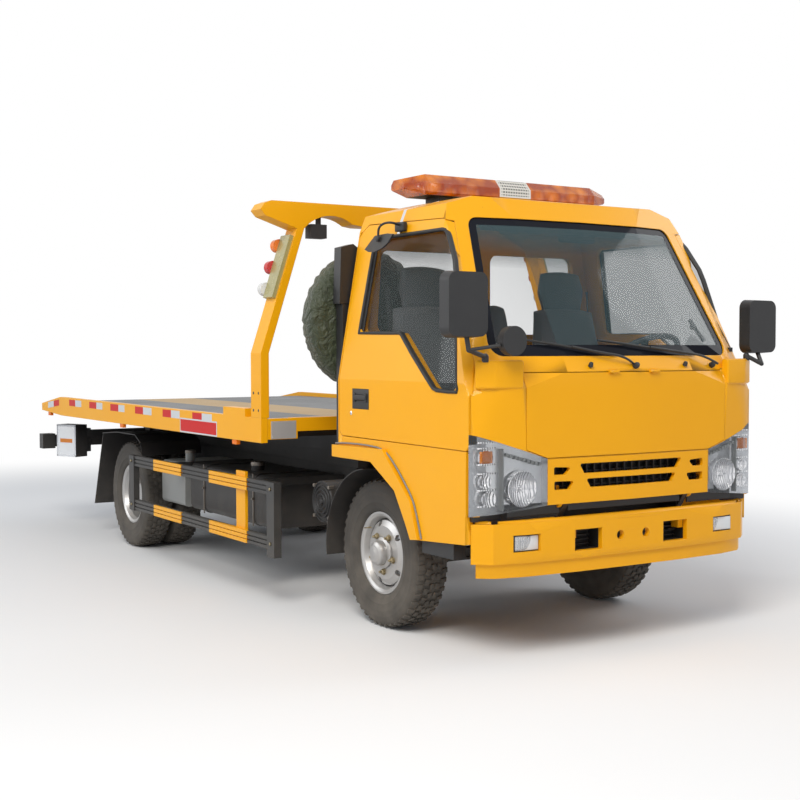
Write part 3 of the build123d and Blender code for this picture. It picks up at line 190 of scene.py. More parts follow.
def finish_of(name, base, tone, grain, rough, metal=0.0, coat=0.0, bump=0.0, bump_scale=200.0,
              edge=0.0, dust=0.0, sheen=0.0, shine=0.5):
    """A procedural finish: two tones mixed by noise, uneven roughness, a fine bump and low dust."""
    material, tree, surface = shaded(name, Metallic=metal, Coat_Weight=coat, Coat_Roughness=0.04,
                                     Sheen_Weight=sheen, Specular_IOR_Level=shine)
    place = own_place(tree)
    cloud = node_in(tree, "ShaderNodeTexNoise", Vector=place, Scale=grain, Detail=4.0, Roughness=0.6)
    colour = tones_of(cloud.outputs["Fac"], (*base, 1), (*tone, 1))
    if dust:
        height = node_in(tree, "ShaderNodeSeparateXYZ", Vector=place).outputs["Z"]
        fade = node_in(tree, "ShaderNodeMapRange", Value=height, From_Min=0.95, From_Max=0.1, To_Max=dust)
        speckle = node_in(tree, "ShaderNodeTexNoise", Vector=place, Scale=9.0, Detail=6.0)
        colour = tones_of(calc("MULTIPLY", fade.outputs[0], speckle.outputs["Fac"]), colour, DUST)
    feed(surface.inputs["Base Color"], colour)
    gloss = node_in(tree, "ShaderNodeMapRange", Value=cloud.outputs["Fac"], To_Min=rough[0], To_Max=rough[1])
    feed(surface.inputs["Roughness"], gloss.outputs[0])
    relief = None
    if edge:
        relief = node_in(tree, "ShaderNodeBevel", Radius=edge)
        relief.samples = 4
    if bump:
        pits = node_in(tree, "ShaderNodeTexNoise", Vector=place, Scale=bump_scale, Detail=3.0)
        press = node_in(tree, "ShaderNodeBump", Height=pits.outputs["Fac"], Strength=bump, Distance=0.001)
        if relief:
            feed(press.inputs["Normal"], relief.outputs[0])
        relief = press
    if relief:
        feed(surface.inputs["Normal"], relief.outputs[0])
    return material


def dress(material, *nodes):
    """Gives a carried-over CAD node its finish."""
    for node in nodes:
        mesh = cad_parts[node].data
        mesh.materials.clear()
        mesh.materials.append(material)


def mounted(name, mesh, material, body, sharp=None):
    """A finished mesh as an object on a body, smooth up to an angle where one is given."""
    mesh.materials.clear()
    mesh.materials.append(material)
    for polygon in mesh.polygons:
        polygon.use_smooth = sharp is not None
    if sharp is not None:
        mesh.set_sharp_from_angle(angle=math.radians(sharp))
    made = stood(name, mesh)
    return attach(made, body)


def pressed(node, material, body):
    """A panel pressed from sheet: the CAD surface with its shallow bends shaded as one curve."""
    panel = bmesh.new()
    panel.from_mesh(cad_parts[node].data)
    bmesh.ops.remove_doubles(panel, verts=panel.verts, dist=MERGE)
    mesh = bpy.data.meshes.new(node + "_panel")
    panel.to_mesh(mesh)
    panel.free()
    made = mounted(node + "_panel", mesh, material, body, PRESSED_SHARP)
    even = made.modifiers.new("even_shading", "WEIGHTED_NORMAL")
    even.keep_sharp = True
    even.weight = 100
    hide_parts(node)


yellow_paint = finish_of("yellow_paint", (0.87, 0.405, 0.003), (0.83, 0.365, 0.003), 1.6, (0.30, 0.42),
                         coat=0.12, bump=0.05, bump_scale=90, edge=0.005, shine=0.22)
dress(yellow_paint, "cab_shell", "door_left", "door_right", "front_lid", "grille", "bumper",
      "arch_flares", "deck_side_rails", "deck_front_beam", "headframe")
for node, body in (("cab_shell", "cab"), ("front_lid", "front_lid"), ("door_left", "door_left"),
                   ("door_right", "door_right")):
    pressed(node, yellow_paint, body)
pressed("bumper", yellow_paint, "chassis")

# Tyres: truck tyres with an open block tread. The carcass is a moulded ring with raised rings on its
# sidewall. The tread blocks stand on it in staggered rows, the outer ones as leaning shoulder lugs.
REAR_AXLE = -3360
FRONT_TYRE_Y = 708
REAR_TYRES_Y = (600, 830)
TYRE_RADIUS = 390
TYRE_STEPS = 72
CARCASS = [  # radius, distance from the middle plane
    (203.3, 69.2), (216.5, 71.7), (222, 82), (232, 88), (240, 91), (262, 96), (266, 98.6), (270, 97.5),
    (300, 99.5), (304, 100), (308, 99.3), (330, 98.5), (334, 99.4), (338, 98), (352, 96), (366, 90),
    (376, 80), (380, 60), (381, 20)]
ROWS = [  # offset across, half width across, half length round, turn, stagger
    (0, 13, 15, 18, 0.0), (-32, 14, 16, -14, 0.5), (32, 14, 16, -14, 0.0), (-70, 17, 13, 8, 0.0),
    (70, 17, 13, 8, 0.5)]
BLOCKS_ROUND = 46
BLOCK_HEIGHT = 12
BLOCK_MIDDLE = TYRE_RADIUS - 7.9
SHOULDER_ROW = 70
SHOULDER_LEAN = 17  # degrees
SHOULDER_DROP = 4.6
SMOOTH_SHARP = 38  # degrees, the sharpest edge that a smooth piece still rounds


def piece(name, shape, material, body, smooth=False):
    """A finished bmesh as an object that rides on a body."""
    bmesh.ops.recalc_face_normals(shape, faces=shape.faces)
    mesh = bpy.data.meshes.new(name)
    shape.to_mesh(mesh)
    shape.free()
    return mounted(name, mesh, material, body, SMOOTH_SHARP if smooth else None)


def turned(shape, profile, centre, axis, steps=32):
    """Adds a ring or disc: profile points are (radius, along) in mm, spun about an axis."""
    axis = Vector(axis).normalized()
    side = axis.orthogonal().normalized()
    middle = at(*centre)
    points = [shape.verts.new(middle + side * (r / 1000) + axis * (along / 1000)) for r, along in profile]
    edges = [shape.edges.new(pair) for pair in zip(points, points[1:])]
    bmesh.ops.spin(shape, geom=points + edges, cent=middle, axis=axis, dvec=(0, 0, 0), angle=math.tau,
                   steps=steps, use_merge=True)
    bmesh.ops.remove_doubles(shape, verts=shape.verts, dist=MERGE)


tyre_rubber = finish_of("tyre_rubber", (0.013, 0.012, 0.012), (0.022, 0.020, 0.018), 9, (0.72, 0.9),
                        bump=0.3, bump_scale=500, dust=0.55)
lug = bmesh.new()
bmesh.ops.create_cube(lug, size=1)
lug_top = [face for face in lug.faces if face.normal.z > 0.9]
bmesh.ops.inset_region(lug, faces=lug_top, thickness=0.12, depth=0.0)
bmesh.ops.translate(lug, vec=(0, 0, 0.14), verts=list({vert for face in lug_top for vert in face.verts}))
lug_mesh = bpy.data.meshes.new("lug")
lug.to_mesh(lug_mesh)
lug.free()
for name, body, x, across in (
        ("front_tyre_right", "front_wheel_right", 0, [-FRONT_TYRE_Y]),
        ("front_tyre_left", "front_wheel_left", 0, [FRONT_TYRE_Y]),
        ("rear_tyres_right", "rear_wheels_right", REAR_AXLE, [-y for y in REAR_TYRES_Y]),
        ("rear_tyres_left", "rear_wheels_left", REAR_AXLE, REAR_TYRES_Y)):
    tread = bmesh.new()
    for y, row, count in itertools.product(across, ROWS, range(BLOCKS_ROUND)):
        offset, half_w, half_l, twist, stagger = row
        shoulder = abs(offset) == SHOULDER_ROW
        lean = -math.copysign(SHOULDER_LEAN, offset) if shoulder else 0
        lower = SHOULDER_DROP if shoulder else 0
        start = len(tread.verts)
        tread.from_mesh(lug_mesh)
        tread.verts.ensure_lookup_table()
        shrink = Matrix.Diagonal((2 * half_l / 1000, 2 * half_w / 1000, BLOCK_HEIGHT / 1000, 1))
        tip = Matrix.Rotation(math.radians(lean), 4, "X") @ Matrix.Rotation(math.radians(twist), 4, "Z")
        lift = Matrix.Translation((0, offset / 1000, (BLOCK_MIDDLE - lower) / 1000))
        roll = Matrix.Rotation(math.tau * (count + stagger) / BLOCKS_ROUND, 4, "Y")
        place = Matrix.Translation(at(x, y, TYRE_RADIUS))
        bmesh.ops.transform(tread, matrix=place @ roll @ lift @ tip @ shrink, verts=tread.verts[start:])
    tread_mesh = bpy.data.meshes.new("tread")
    tread.to_mesh(tread_mesh)
    tread.free()
    ring = bmesh.new()
    outline = CARCASS + [(radius, -width) for radius, width in reversed(CARCASS)]
    for y in across:
        turned(ring, outline, (x, y, TYRE_RADIUS), (0, 1, 0), TYRE_STEPS)
    ring.from_mesh(tread_mesh)
    bpy.data.meshes.remove(tread_mesh)
    tyre = piece(name + "_tread", ring, tyre_rubber, body, True)
    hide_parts(name)
bpy.data.meshes.remove(lug_mesh)

# Wheels: pressed steel discs sprayed silver. Five plated nuts hold each one, and the front ones have a
# stepped hub cap in the middle. The tyre's valve looks out of a vent.
SIDES = ((-1, "right"), (1, "left"))
FRONT_DISC_Y = 774
REAR_DISC_Y = 730
NUT_SEAT = [(0, 26), (7, 26), (7, 12)]
FRONT_NUT = [(0, 13), (11, 13), (14.5, 10), (14.5, 1), (19, 1), (19, -3)]
REAR_NUT = [(0, 26), (11, 26), (14.5, 22), (14.5, 1), (19, 1), (19, -3)]
HUB_CAP = [(0, 58.5), (16, 58.5), (18, 56.6), (34, 56.6), (40, 53), (43, 49), (52, 46), (62, 43), (66, 34),
           (66, 12), (82, 6), (84, 1), (84, -2)]
VALVE = [(0, 34), (3, 34), (3, 12), (5, 10), (5, -10)]


def round_circle(count, radius, start=0.0):
    """Places evenly round a circle, as distances along and up."""
    angles = [math.tau * (number + 0.5) / count + start for number in range(count)]
    return [(radius * math.cos(angle), radius * math.sin(angle)) for angle in angles]


silver_paint = finish_of("silver_paint", (0.52, 0.52, 0.52), (0.44, 0.43, 0.42), 7, (0.3, 0.45),
                         metal=0.75, bump=0.1, bump_scale=300, edge=0.002, dust=0.35)
dress(silver_paint, "front_rim_left", "front_rim_right", "rear_rims_left", "rear_rims_right")
plated_nut = finish_of("plated_nut", (0.42, 0.36, 0.24), (0.30, 0.24, 0.14), 40, (0.3, 0.5), metal=1.0)
for side, name in SIDES:
    face_y = side * FRONT_DISC_Y
    outward = (0, side, 0)
    nuts = bmesh.new()
    for nut_x, nut_z in round_circle(5, 100, 0.35):
        turned(nuts, NUT_SEAT, (nut_x, face_y, TYRE_RADIUS + nut_z), outward, 10)
        turned(nuts, FRONT_NUT, (nut_x, face_y, TYRE_RADIUS + nut_z), outward, 6)
    piece("wheel_nuts_" + name, nuts, plated_nut, "front_wheel_" + name)
    cap = bmesh.new()
    turned(cap, HUB_CAP, (0, face_y, TYRE_RADIUS), outward, 40)
    piece("hub_cap_" + name, cap, silver_paint, "front_wheel_" + name, True)
    valve = bmesh.new()
    turned(valve, VALVE, (-128, face_y + side * 6, TYRE_RADIUS + 118), outward, 10)
    piece("tyre_valve_" + name, valve, plated_nut, "front_wheel_" + name, True)
for side, name in SIDES:
    nuts = bmesh.new()
    for nut_x, nut_z in round_circle(5, 112, 0.2):
        turned(nuts, REAR_NUT, (REAR_AXLE + nut_x, side * REAR_DISC_Y, TYRE_RADIUS + nut_z), (0, side, 0), 6)
    piece("rear_wheel_nuts_" + name, nuts, plated_nut, "rear_wheels_" + name)

# Cab glass: laminated windscreen and tempered side glass, lightly green, glued into the cab's openings.
# A shaded band runs along the top, and a black border is baked on inside the windscreen.
SCREEN_TINT = (0.04, 0.075, 0.085)
BORDER_INK = (0.012, 0.013, 0.018, 1)
BAND_FROM = 1.92  # metres, as all sizes of the glass
BAND_TO = 2.06
BORDER_WIDTH = 0.045
BORDER_FOOT = 1.475
BORDER_HEAD = 2.06
REAR_PANE_FRONT = 2.2
SCREEN_HALF = 1.0218  # the windscreen's half width, if its edges ran on to the ground
SCREEN_TAPER = 0.1763


def glass_of(name, tint, low, high, rough=0.03, coat=0.0):
    """Clear glass or plastic that covers more where it is seen edge-on."""
    material, tree, surface = shaded(name, Base_Color=(*tint, 1), Roughness=rough, Coat_Weight=coat)
    edge_on = node_in(tree, "ShaderNodeFresnel", IOR=1.5)
    cover = node_in(tree, "ShaderNodeMapRange", Value=edge_on.outputs[0], To_Min=low, To_Max=high)
    feed(surface.inputs["Alpha"], cover.outputs[0])
    return material


def place_of(tree):
    """The object's own coordinates as X, Y and Z outputs."""
    return node_in(tree, "ShaderNodeSeparateXYZ", Vector=own_place(tree)).outputs


screen_glass = glass_of("screen_glass", SCREEN_TINT, 0.03, 0.55)
side_glass = glass_of("side_glass", (0.03, 0.045, 0.045), 0.03, 0.45)
tree = screen_glass.node_tree
surface = tree.nodes["Principled BSDF"]
x, y, z = place_of(tree)
half_width = calc("SUBTRACT", SCREEN_HALF, calc("MULTIPLY", z, SCREEN_TAPER))
border = calc("LESS_THAN", calc("SUBTRACT", half_width, calc("ABSOLUTE", y)), BORDER_WIDTH)
border = calc("MAXIMUM", border, calc("LESS_THAN", z, BORDER_FOOT))
border = calc("MAXIMUM", border, calc("GREATER_THAN", z, BORDER_HEAD))
border = calc("MULTIPLY", border, calc("GREATER_THAN", x, REAR_PANE_FRONT))
band = node_in(tree, "ShaderNodeMapRange", Value=z, From_Min=BAND_FROM, From_Max=BAND_TO, To_Max=0.45)
cover = calc("ADD", surface.inputs["Alpha"].links[0].from_socket, band.outputs[0])
feed(surface.inputs["Alpha"], calc("MAXIMUM", calc("MINIMUM", cover, 1.0), border))
feed(surface.inputs["Base Color"], tones_of(border, (*SCREEN_TINT, 1), BORDER_INK))
matt = node_in(tree, "ShaderNodeMapRange", Value=border, To_Min=0.5, To_Max=0.06)
feed(surface.inputs["Specular IOR Level"], matt.outputs[0])
dress(screen_glass, "cab_glass")
dress(side_glass, "door_glass_left", "door_glass_right")
for node in ("cab_glass", "door_glass_left", "door_glass_right"):
    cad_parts[node].visible_shadow = False

# Running gear and tanks: cast and painted parts under the deck, bolted to the frame, plain and dusty.
# The oil tank is pale grey, the muffler is bare steel, and the air cleaner has a ringed lid with clips.
AIR_CLEANER = (-520, -850, 612)
TANK_STRAPS = (-2150, -1400)


def cube_between(shape, corner, opposite):
    """Adds a plain cube between two opposite corners, given in metres."""
    low = Vector([min(pair) for pair in zip(corner, opposite)])
    high = Vector([max(pair) for pair in zip(corner, opposite)])
    made = bmesh.ops.create_cube(shape, size=1)["verts"]
    bmesh.ops.scale(shape, vec=high - low, verts=made)
    bmesh.ops.translate(shape, vec=(low + high) / 2, verts=made)
    return made


def block(shape, corner, opposite, round_by=0.0, steps=2):
    """Adds a block between two opposite corners in mm, with its edges rounded."""
    made = cube_between(shape, at(*corner), at(*opposite))
    if round_by:
        edges = list({edge for vert in made for edge in vert.link_edges})
        bmesh.ops.bevel(shape, geom=edges, offset=round_by / 1000, segments=steps, profile=0.5,
                        affect="EDGES", material=-1)


chassis_black = finish_of("chassis_black", (0.012, 0.012, 0.014), (0.022, 0.021, 0.021), 5, (0.35, 0.6),
                          bump=0.15, bump_scale=300, edge=0.003, dust=0.30)
dress(chassis_black, "frame", "leaf_springs", "knuckle_left", "knuckle_right", "tie_rod", "fuel_tank",
      "battery_box", "spare_carrier", "tilt_frame", "tilt_cylinder_barrels", "front_mudguards",
      "rear_mudguards", "air_intake", "rear_work_lamps", "winch_frame", "deck_frame", "lift_boom",
      "lift_inner_boom", "lift_cross_bar")
cast_iron = finish_of("cast_iron", (0.035, 0.034, 0.033), (0.06, 0.055, 0.05), 8, (0.6, 0.8), metal=0.3,
                      bump=0.4, bump_scale=250, dust=0.35)
dress(cast_iron, "engine", "driveline", "rear_axle", "front_axle")
bare_steel = finish_of("bare_steel", (0.28, 0.26, 0.24), (0.20, 0.17, 0.14), 6, (0.4, 0.6), metal=0.85,
                       bump=0.15, bump_scale=200, dust=0.3)
dress(bare_steel, "exhaust")
tank_grey = finish_of("tank_grey", (0.36, 0.37, 0.36), (0.31, 0.32, 0.31), 3, (0.35, 0.5), coat=0.2,
                      bump=0.1, bump_scale=150, edge=0.004, dust=0.25)
dress(tank_grey, "hydraulic_tank")
polished_rod = finish_of("polished_rod", (0.62, 0.62, 0.63), (0.55, 0.55, 0.56), 12, (0.10, 0.18),
                         metal=1.0)
dress(polished_rod, "tilt_cylinder_rods")
black_trim = finish_of("black_trim", (0.012, 0.012, 0.013), (0.022, 0.022, 0.023), 14, (0.42, 0.6),
                       bump=0.25, bump_scale=900, edge=0.003)

lid = bmesh.new()
for radius, along in ((112, 0), (92, 4), (70, 7), (46, 10)):
    ridge = [(radius - 9, along), (radius - 7, along + 5), (radius - 2, along + 5), (radius, along)]
    turned(lid, ridge, AIR_CLEANER, (0, -1, 0), 40)
turned(lid, [(0, 16), (14, 15), (18, 8), (18, 0)], AIR_CLEANER, (0, -1, 0), 20)
piece("air_cleaner_lid", lid, black_trim, "chassis", True)
clips = bmesh.new()
for clip_x, clip_z in round_circle(4, 119):
    x, z = AIR_CLEANER[0] + clip_x, AIR_CLEANER[2] + clip_z
    block(clips, (x - 9, -862, z - 9), (x + 9, -826, z + 9), 2)
piece("air_cleaner_clips", clips, bare_steel, "chassis")
caps = bmesh.new()
turned(caps, [(0, 16), (30, 15), (44, 11), (46, 0), (46, -12)], (-1650, -700, 732), (0, 0, 1), 24)
turned(caps, [(0, 14), (24, 13), (36, 9), (38, 0), (38, -10)], (-2600, -760, 747), (0, 0, 1), 24)
piece("tank_caps", caps, bare_steel, "chassis", True)
straps = bmesh.new()
for x in TANK_STRAPS:
    block(straps, (x - 6, -857, 372), (x + 6, -849.5, 694), 2)
    turned(straps, [(0, 9), (7, 9), (7, 0), (11, 0), (11, -2)], (x, -857, 540), (0, -1, 0), 6)
piece("tank_strap_bolts", straps, bare_steel, "chassis")

# Side guards: black anodised ribbed rails with end posts, bolted on, and yellow sleeves slid over them.
# The sleeves and the middle post get the body's yellow by where their faces lie.
SLEEVES = ((-2508, -2030), (-1580, -1043), (-1228, -1102))
GUARD_OUTSIDE = 1027
GUARD_BOLTS = ((-718, 1075), (-2925, 1071))  # along, out


def dress_part(node, material, belongs):
    """Gives part of a carried-over CAD node another finish, by a test of each face's corners in mm."""
    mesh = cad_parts[node].data
    mesh.materials.append(material)
    index = len(mesh.materials) - 1
    for polygon in mesh.polygons:
        corners = [mesh.vertices[i].co for i in polygon.vertices]
        if all(belongs((c.x - AXLE_X) * 1000, c.y * 1000, c.z * 1000) for c in corners):
            polygon.material_index = index


guard_black = finish_of("guard_black", (0.016, 0.016, 0.017), (0.024, 0.024, 0.024), 9, (0.4, 0.55),
                        bump=0.1, bump_scale=300, edge=0.002, dust=0.25)
dress(guard_black, "side_guards")
for low, high in SLEEVES:
    dress_part("side_guards", yellow_paint,
               lambda x, y, z: low - 1 <= x <= high + 1 and abs(y) > GUARD_OUTSIDE)
bolts = bmesh.new()
for side, (x, y), z in itertools.product((1, -1), GUARD_BOLTS, (367, 675)):
    turned(bolts, [(0, 7), (6, 7), (9, 5), (9, 0), (13, 0), (13, -2)], (x, side * y, z), (0, side, 0), 6)
piece("side_guard_bolts", bolts, plated_nut, "chassis")

# Bumper fittings: fog lamps with clear lenses in black frames, a blank centre plate with a raised rim
# and four screws, collars in the two towing holes and dark ducts behind the two square openings.
FOG_RIBS = 9
PLATE_HALF = 192
PLATE_FOOT = 482
PLATE_TOP = 642
TOW_HOLE_Y = 82


def bent_rod(name, runs, material, body, radius, smooth_line=True):
    """A bent tube or rod along each run of points in mm, made a mesh."""
    line = bpy.data.curves.new(name, "CURVE")
    line.dimensions = "3D"
    line.bevel_depth = radius / 1000
    line.bevel_resolution = 3
    line.use_fill_caps = True
    for points in runs:
        spline = line.splines.new("NURBS" if smooth_line else "POLY")
        spline.points.add(len(points) - 1)
        for knot, point in zip(spline.points, points):
            knot.co = (*at(*point), 1)
        if smooth_line:
            spline.order_u = 3
            spline.use_endpoint_u = True
            spline.resolution_u = 6
    carrier = bpy.data.objects.new(name + "_line", line)
    mesh = bpy.data.meshes.new_from_object(carrier)
    bpy.data.objects.remove(carrier)
    bpy.data.curves.remove(line)
    shape = bmesh.new()
    shape.from_mesh(mesh)
    bpy.data.meshes.remove(mesh)
    piece(name, shape, material, body, True)


clear_lens = glass_of("clear_lens", (0.75, 0.77, 0.78), 0.12, 0.9)
chrome = finish_of("chrome", (0.82, 0.82, 0.83), (0.74, 0.74, 0.76), 30, (0.06, 0.16), metal=1.0)
dress(black_trim, "fog_lamps")
for side, name in SIDES:
    bowl = bmesh.new()
    block(bowl, (1027.8, side * 566, 531), (1029.4, side * 692, 591), 1)
    for rib in range(FOG_RIBS):
        y = side * (574 + rib * 13.75)
        block(bowl, (1029, y - 4.5, 533), (1032.5, y + 4.5, 589), 2.2)
    piece("fog_reflector_" + name, bowl, chrome, "chassis", True)
    cover = bmesh.new()
    block(cover, (1033.5, side * 563, 528), (1036.5, side * 695, 594), 3)
    piece("fog_lens_" + name, cover, clear_lens, "chassis", True)
ducts = bmesh.new()
for side in (-1, 1):
    block(ducts, (950, side * 197, 498), (958, side * 363, 612), 2)
    for z in (498, 606):
        block(ducts, (956, side * 197, z), (1034, side * 363, z + 6), 1)
    for y in (191, 363):
        block(ducts, (956, side * y, 498), (1034, side * (y + 6), 612), 1)
    for z in (518, 540, 562, 584):
        block(ducts, (965, side * 209, z), (985, side * 351, z + 6), 1.5)
piece("bumper_ducts", ducts, black_trim, "chassis")
screws = bmesh.new()
for y, z in itertools.product((-166, 166), (508, 618)):
    turned(screws, [(0, 3.2), (4, 3), (6.5, 1.2), (7, -1.5)], (1062.5, y, z), (1, 0, 0), 14)
for y in (-TOW_HOLE_Y, TOW_HOLE_Y):
    turned(screws, [(23, 0.8), (23.6, 2.4), (29, 2.2), (30, 0), (30, -3)], (1063, y, 561), (1, 0, 0), 32)
piece("bumper_screws", screws, yellow_paint, "chassis", True)
rim = [[(1063.6, y, PLATE_FOOT), (1063.6, y, PLATE_TOP)] for y in (-PLATE_HALF, PLATE_HALF)]
for z in (PLATE_FOOT, PLATE_TOP):
    rim.append([(1063.6, -PLATE_HALF, z), (1064.2, 0, z), (1063.6, PLATE_HALF, z)])
bent_rod("centre_plate_edge", rim, yellow_paint, "chassis", 1.8, False)

# Headlamps: one clear moulded cover a side, clipped over a chromed box. The tall outer column holds the
# turn signal and side lamp in stacked bowls, and the main bowl sits below a ribbed silver shelf.
LAMP_FRONT = [(519, 1048), (640, 1042), (720, 1030), (800, 1014), (880, 980), (925, 950)]  # out, forward
MAIN_BOWL = [(16, -2), (34, 2), (60, 11), (78, 24), (80, 26), (84, 24), (84, -2)]
BULB_CAP = [(0, 20), (6, 20), (9, 16), (9, 2), (16, -2)]
SMALL_BOWLS = ((812, 770, 34), (830, 850, 30), (826, 960, 36))  # out, up, radius
BOX_SHELVES = (738, 812, 888, 930, 1004, 1030)
COVER_FRONT = 0.35  # a face that looks this far forward belongs to the clear cover
SHELF_RISE = 0.275


def swept(line, y):
    """How far forward a swept-back outline is at a distance from the middle."""
    for (y0, x0), (y1, x1) in zip(line, line[1:]):
        if abs(y) <= y1:
            return x0 + (x1 - x0) * (abs(y) - y0) / (y1 - y0)
    return line[-1][1]


def emboss(material, pattern, strength, depth):
    """Raises a pattern on a finish, in place of any bump that it had."""
    tree = material.node_tree
    press = node_in(tree, "ShaderNodeBump", Height=pattern, Strength=strength, Distance=depth)
    feed(tree.nodes["Principled BSDF"].inputs["Normal"], press.outputs[0])


def flutes(tree, scale, distortion):
    """Upright flutes moulded side by side."""
    wave = node_in(tree, "ShaderNodeTexWave", Vector=own_place(tree), Scale=scale, Distortion=distortion)
    wave.bands_direction = "Y"
    return wave.outputs["Fac"]


bowl_chrome = finish_of("bowl_chrome", (0.90, 0.90, 0.91), (0.82, 0.82, 0.84), 30, (0.05, 0.12), metal=1.0)
emboss(bowl_chrome, flutes(bowl_chrome.node_tree, 22.0, 3.0), 0.7, 0.004)
headlamp_chrome = finish_of("headlamp_chrome", (0.86, 0.87, 0.88), (0.74, 0.75, 0.77), 18, (0.12, 0.25),
                            metal=0.55)
dress(headlamp_chrome, "headlamps")
lamp_cover = glass_of("lamp_cover", (0.80, 0.83, 0.86), 0.02, 0.9)
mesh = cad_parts["headlamps"].data
mesh.materials.append(lamp_cover)
for polygon in mesh.polygons:
    outer = abs(polygon.normal.y) > 0.8 and abs(polygon.center.y) > 0.85
    if polygon.normal.x > COVER_FRONT or outer:
        polygon.material_index = 1
amber_glass = glass_of("amber_glass", (0.95, 0.30, 0.02), 0.45, 1.0)
for side, name in SIDES:
    bowls = bmesh.new()
    main = (swept(LAMP_FRONT, 650) - 34, side * 650, 812)
    turned(bowls, MAIN_BOWL, main, (1, 0, 0), 40)
    turned(bowls, BULB_CAP, main, (1, 0, 0), 24)
    for y, z, radius in SMALL_BOWLS:
        bowl = [(0, 0), (radius * 0.6, 3), (radius, 12), (radius + 3, 12), (radius + 3, -2)]
        turned(bowls, bowl, (swept(LAMP_FRONT, y) - 26, side * y, z), (1, 0, 0), 28)
    x = swept(LAMP_FRONT, 820)
    for z in BOX_SHELVES:
        block(bowls, (x - 30, side * 768, z - 4), (x - 17, side * 872, z + 4), 2)
    piece("headlamp_bowls_" + name, bowls, bowl_chrome, "cab", True)
    divider = bmesh.new()
    x = swept(LAMP_FRONT, 752)
    block(divider, (x - 36, side * 748, 715), (x - 4, side * 756, 1000), 2)
    piece("headlamp_divider_" + name, divider, tank_grey, "cab", True)
    shelf = bmesh.new()
    for y in range(545, 722, 22):
        z = 915 + SHELF_RISE * (y - 545)
        x_in, x_out = swept(LAMP_FRONT, y), swept(LAMP_FRONT, y + 15)
        block(shelf, (x_in - 34, side * y, z), (x_out - 8, side * (y + 15), z + 15), 2)
    piece("headlamp_shelf_" + name, shelf, tank_grey, "cab", True)
    signal = bmesh.new()
    x = swept(LAMP_FRONT, 826)
    block(signal, (x - 18, side * 790, 935), (x - 12, side * 862, 990), 3)
    piece("turn_signal_" + name, signal, amber_glass, "cab", True)

# Grille backing and the dark strip under it: a black ribbed plastic panel behind the slots is clipped to
# the cab and hides the radiator, and a black apron screwed to the frame fills the gap over the bumper.
backing = bmesh.new()
block(backing, (968, -505, 782), (974, 505, 935), 2)
for y in range(-480, 481, 48):
    block(backing, (974, y - 4, 786), (1000, y + 4, 931), 1.5)
for z in (805, 835, 872, 905):
    block(backing, (974, -500, z - 3), (992, 500, z + 3), 1.5)
piece("grille_backing", backing, black_trim, "cab")
apron = bmesh.new()
block(apron, (1000, -362, 690), (1008, 362, 742), 3)
for side in (-1, 1):
    block(apron, (996, side * 414, 680), (1006, side * 720, 738), 3)
    block(apron, (930, side * 716, 664), (958, side * 880, 700), 6)
piece("front_apron", apron, black_trim, "chassis")

# Arch flares and door handles: a grey rubber bead lies along the seam from each flare to the cab. Each
# door has a black moulded pull handle, riveted in a dark recess, with a plated lock under it.
BEAD = [(-262, 955), (-192, 962), (60, 966), (240, 955), (352, 872), (440, 790), (505, 722), (548, 620),
        (574, 545)]
DOOR_SKIN = 903.5
arch_bead = finish_of("arch_bead", (0.23, 0.23, 0.23), (0.18, 0.18, 0.18), 10, (0.5, 0.6))
bent_rod("arch_bead", [[(x, side * 909, z) for x, z in BEAD] for side in (-1, 1)], arch_bead, "cab",
         4.5)
for side, name in SIDES:
    recess = bmesh.new()
    block(recess, (-88, side * DOOR_SKIN, 1147), (78, side * 907, 1252), 3, 3)
    piece("door_recess_" + name, recess, black_trim, "door_" + name, True)
    grip = bmesh.new()
    block(grip, (-74, side * 906, 1192), (64, side * 917, 1222), 8, 4)
    for x in (-74, 40):
        block(grip, (x, side * DOOR_SKIN, 1184), (x + 24, side * 914, 1230), 4, 3)
    piece("door_handle_" + name, grip, black_trim, "door_" + name, True)
    lock = bmesh.new()
    turned(lock, [(0, 3), (9, 3), (11, 1.5), (11, -2)], (-102, side * 905, 1123), (0, side, 0), 20)
    piece("door_lock_" + name, lock, chrome, "door_" + name, True)

# Steps and roof strap: a ribbed black step hangs under the cab's edge behind each end of the bumper,
# and a bright strap runs over the roof's edge above the right door.
STEP_DEPTH = 70
STRAP = [(-540, 2221), (-736, 2166.5), (-771.5, 2080), (-782, 2030)]


def cut_plate(shape, points, push):
    """Adds a plate: an outline of points in mm, pushed by a vector in mm."""
    face = shape.faces.new([shape.verts.new(at(*point)) for point in points])
    done = bmesh.ops.extrude_face_region(shape, geom=[face])
    moved = [item for item in done["geom"] if isinstance(item, bmesh.types.BMVert)]
    bmesh.ops.translate(shape, vec=Vector(push) / 1000, verts=moved)


steps = bmesh.new()
for y in (-884, 814):
    cut_plate(steps, [(545, y, 474), (812, y, 474), (812, y, 551), (545, y, 534)], (0, STEP_DEPTH, 0))
    for x in range(556, 781, 32):
        block(steps, (x, y + 3, 471), (x + 14, y + STEP_DEPTH - 3, 476), 1)
piece("cab_steps", steps, black_trim, "cab")
strap = bmesh.new()
for (y0, z0), (y1, z1) in zip(STRAP, STRAP[1:]):
    cut_plate(strap, [(152, y0, z0), (152, y1, z1), (152, y1 + 4, z1 - 3), (152, y0 + 2, z0 - 4)], (26, 0, 0))
piece("roof_strap", strap, chrome, "cab")

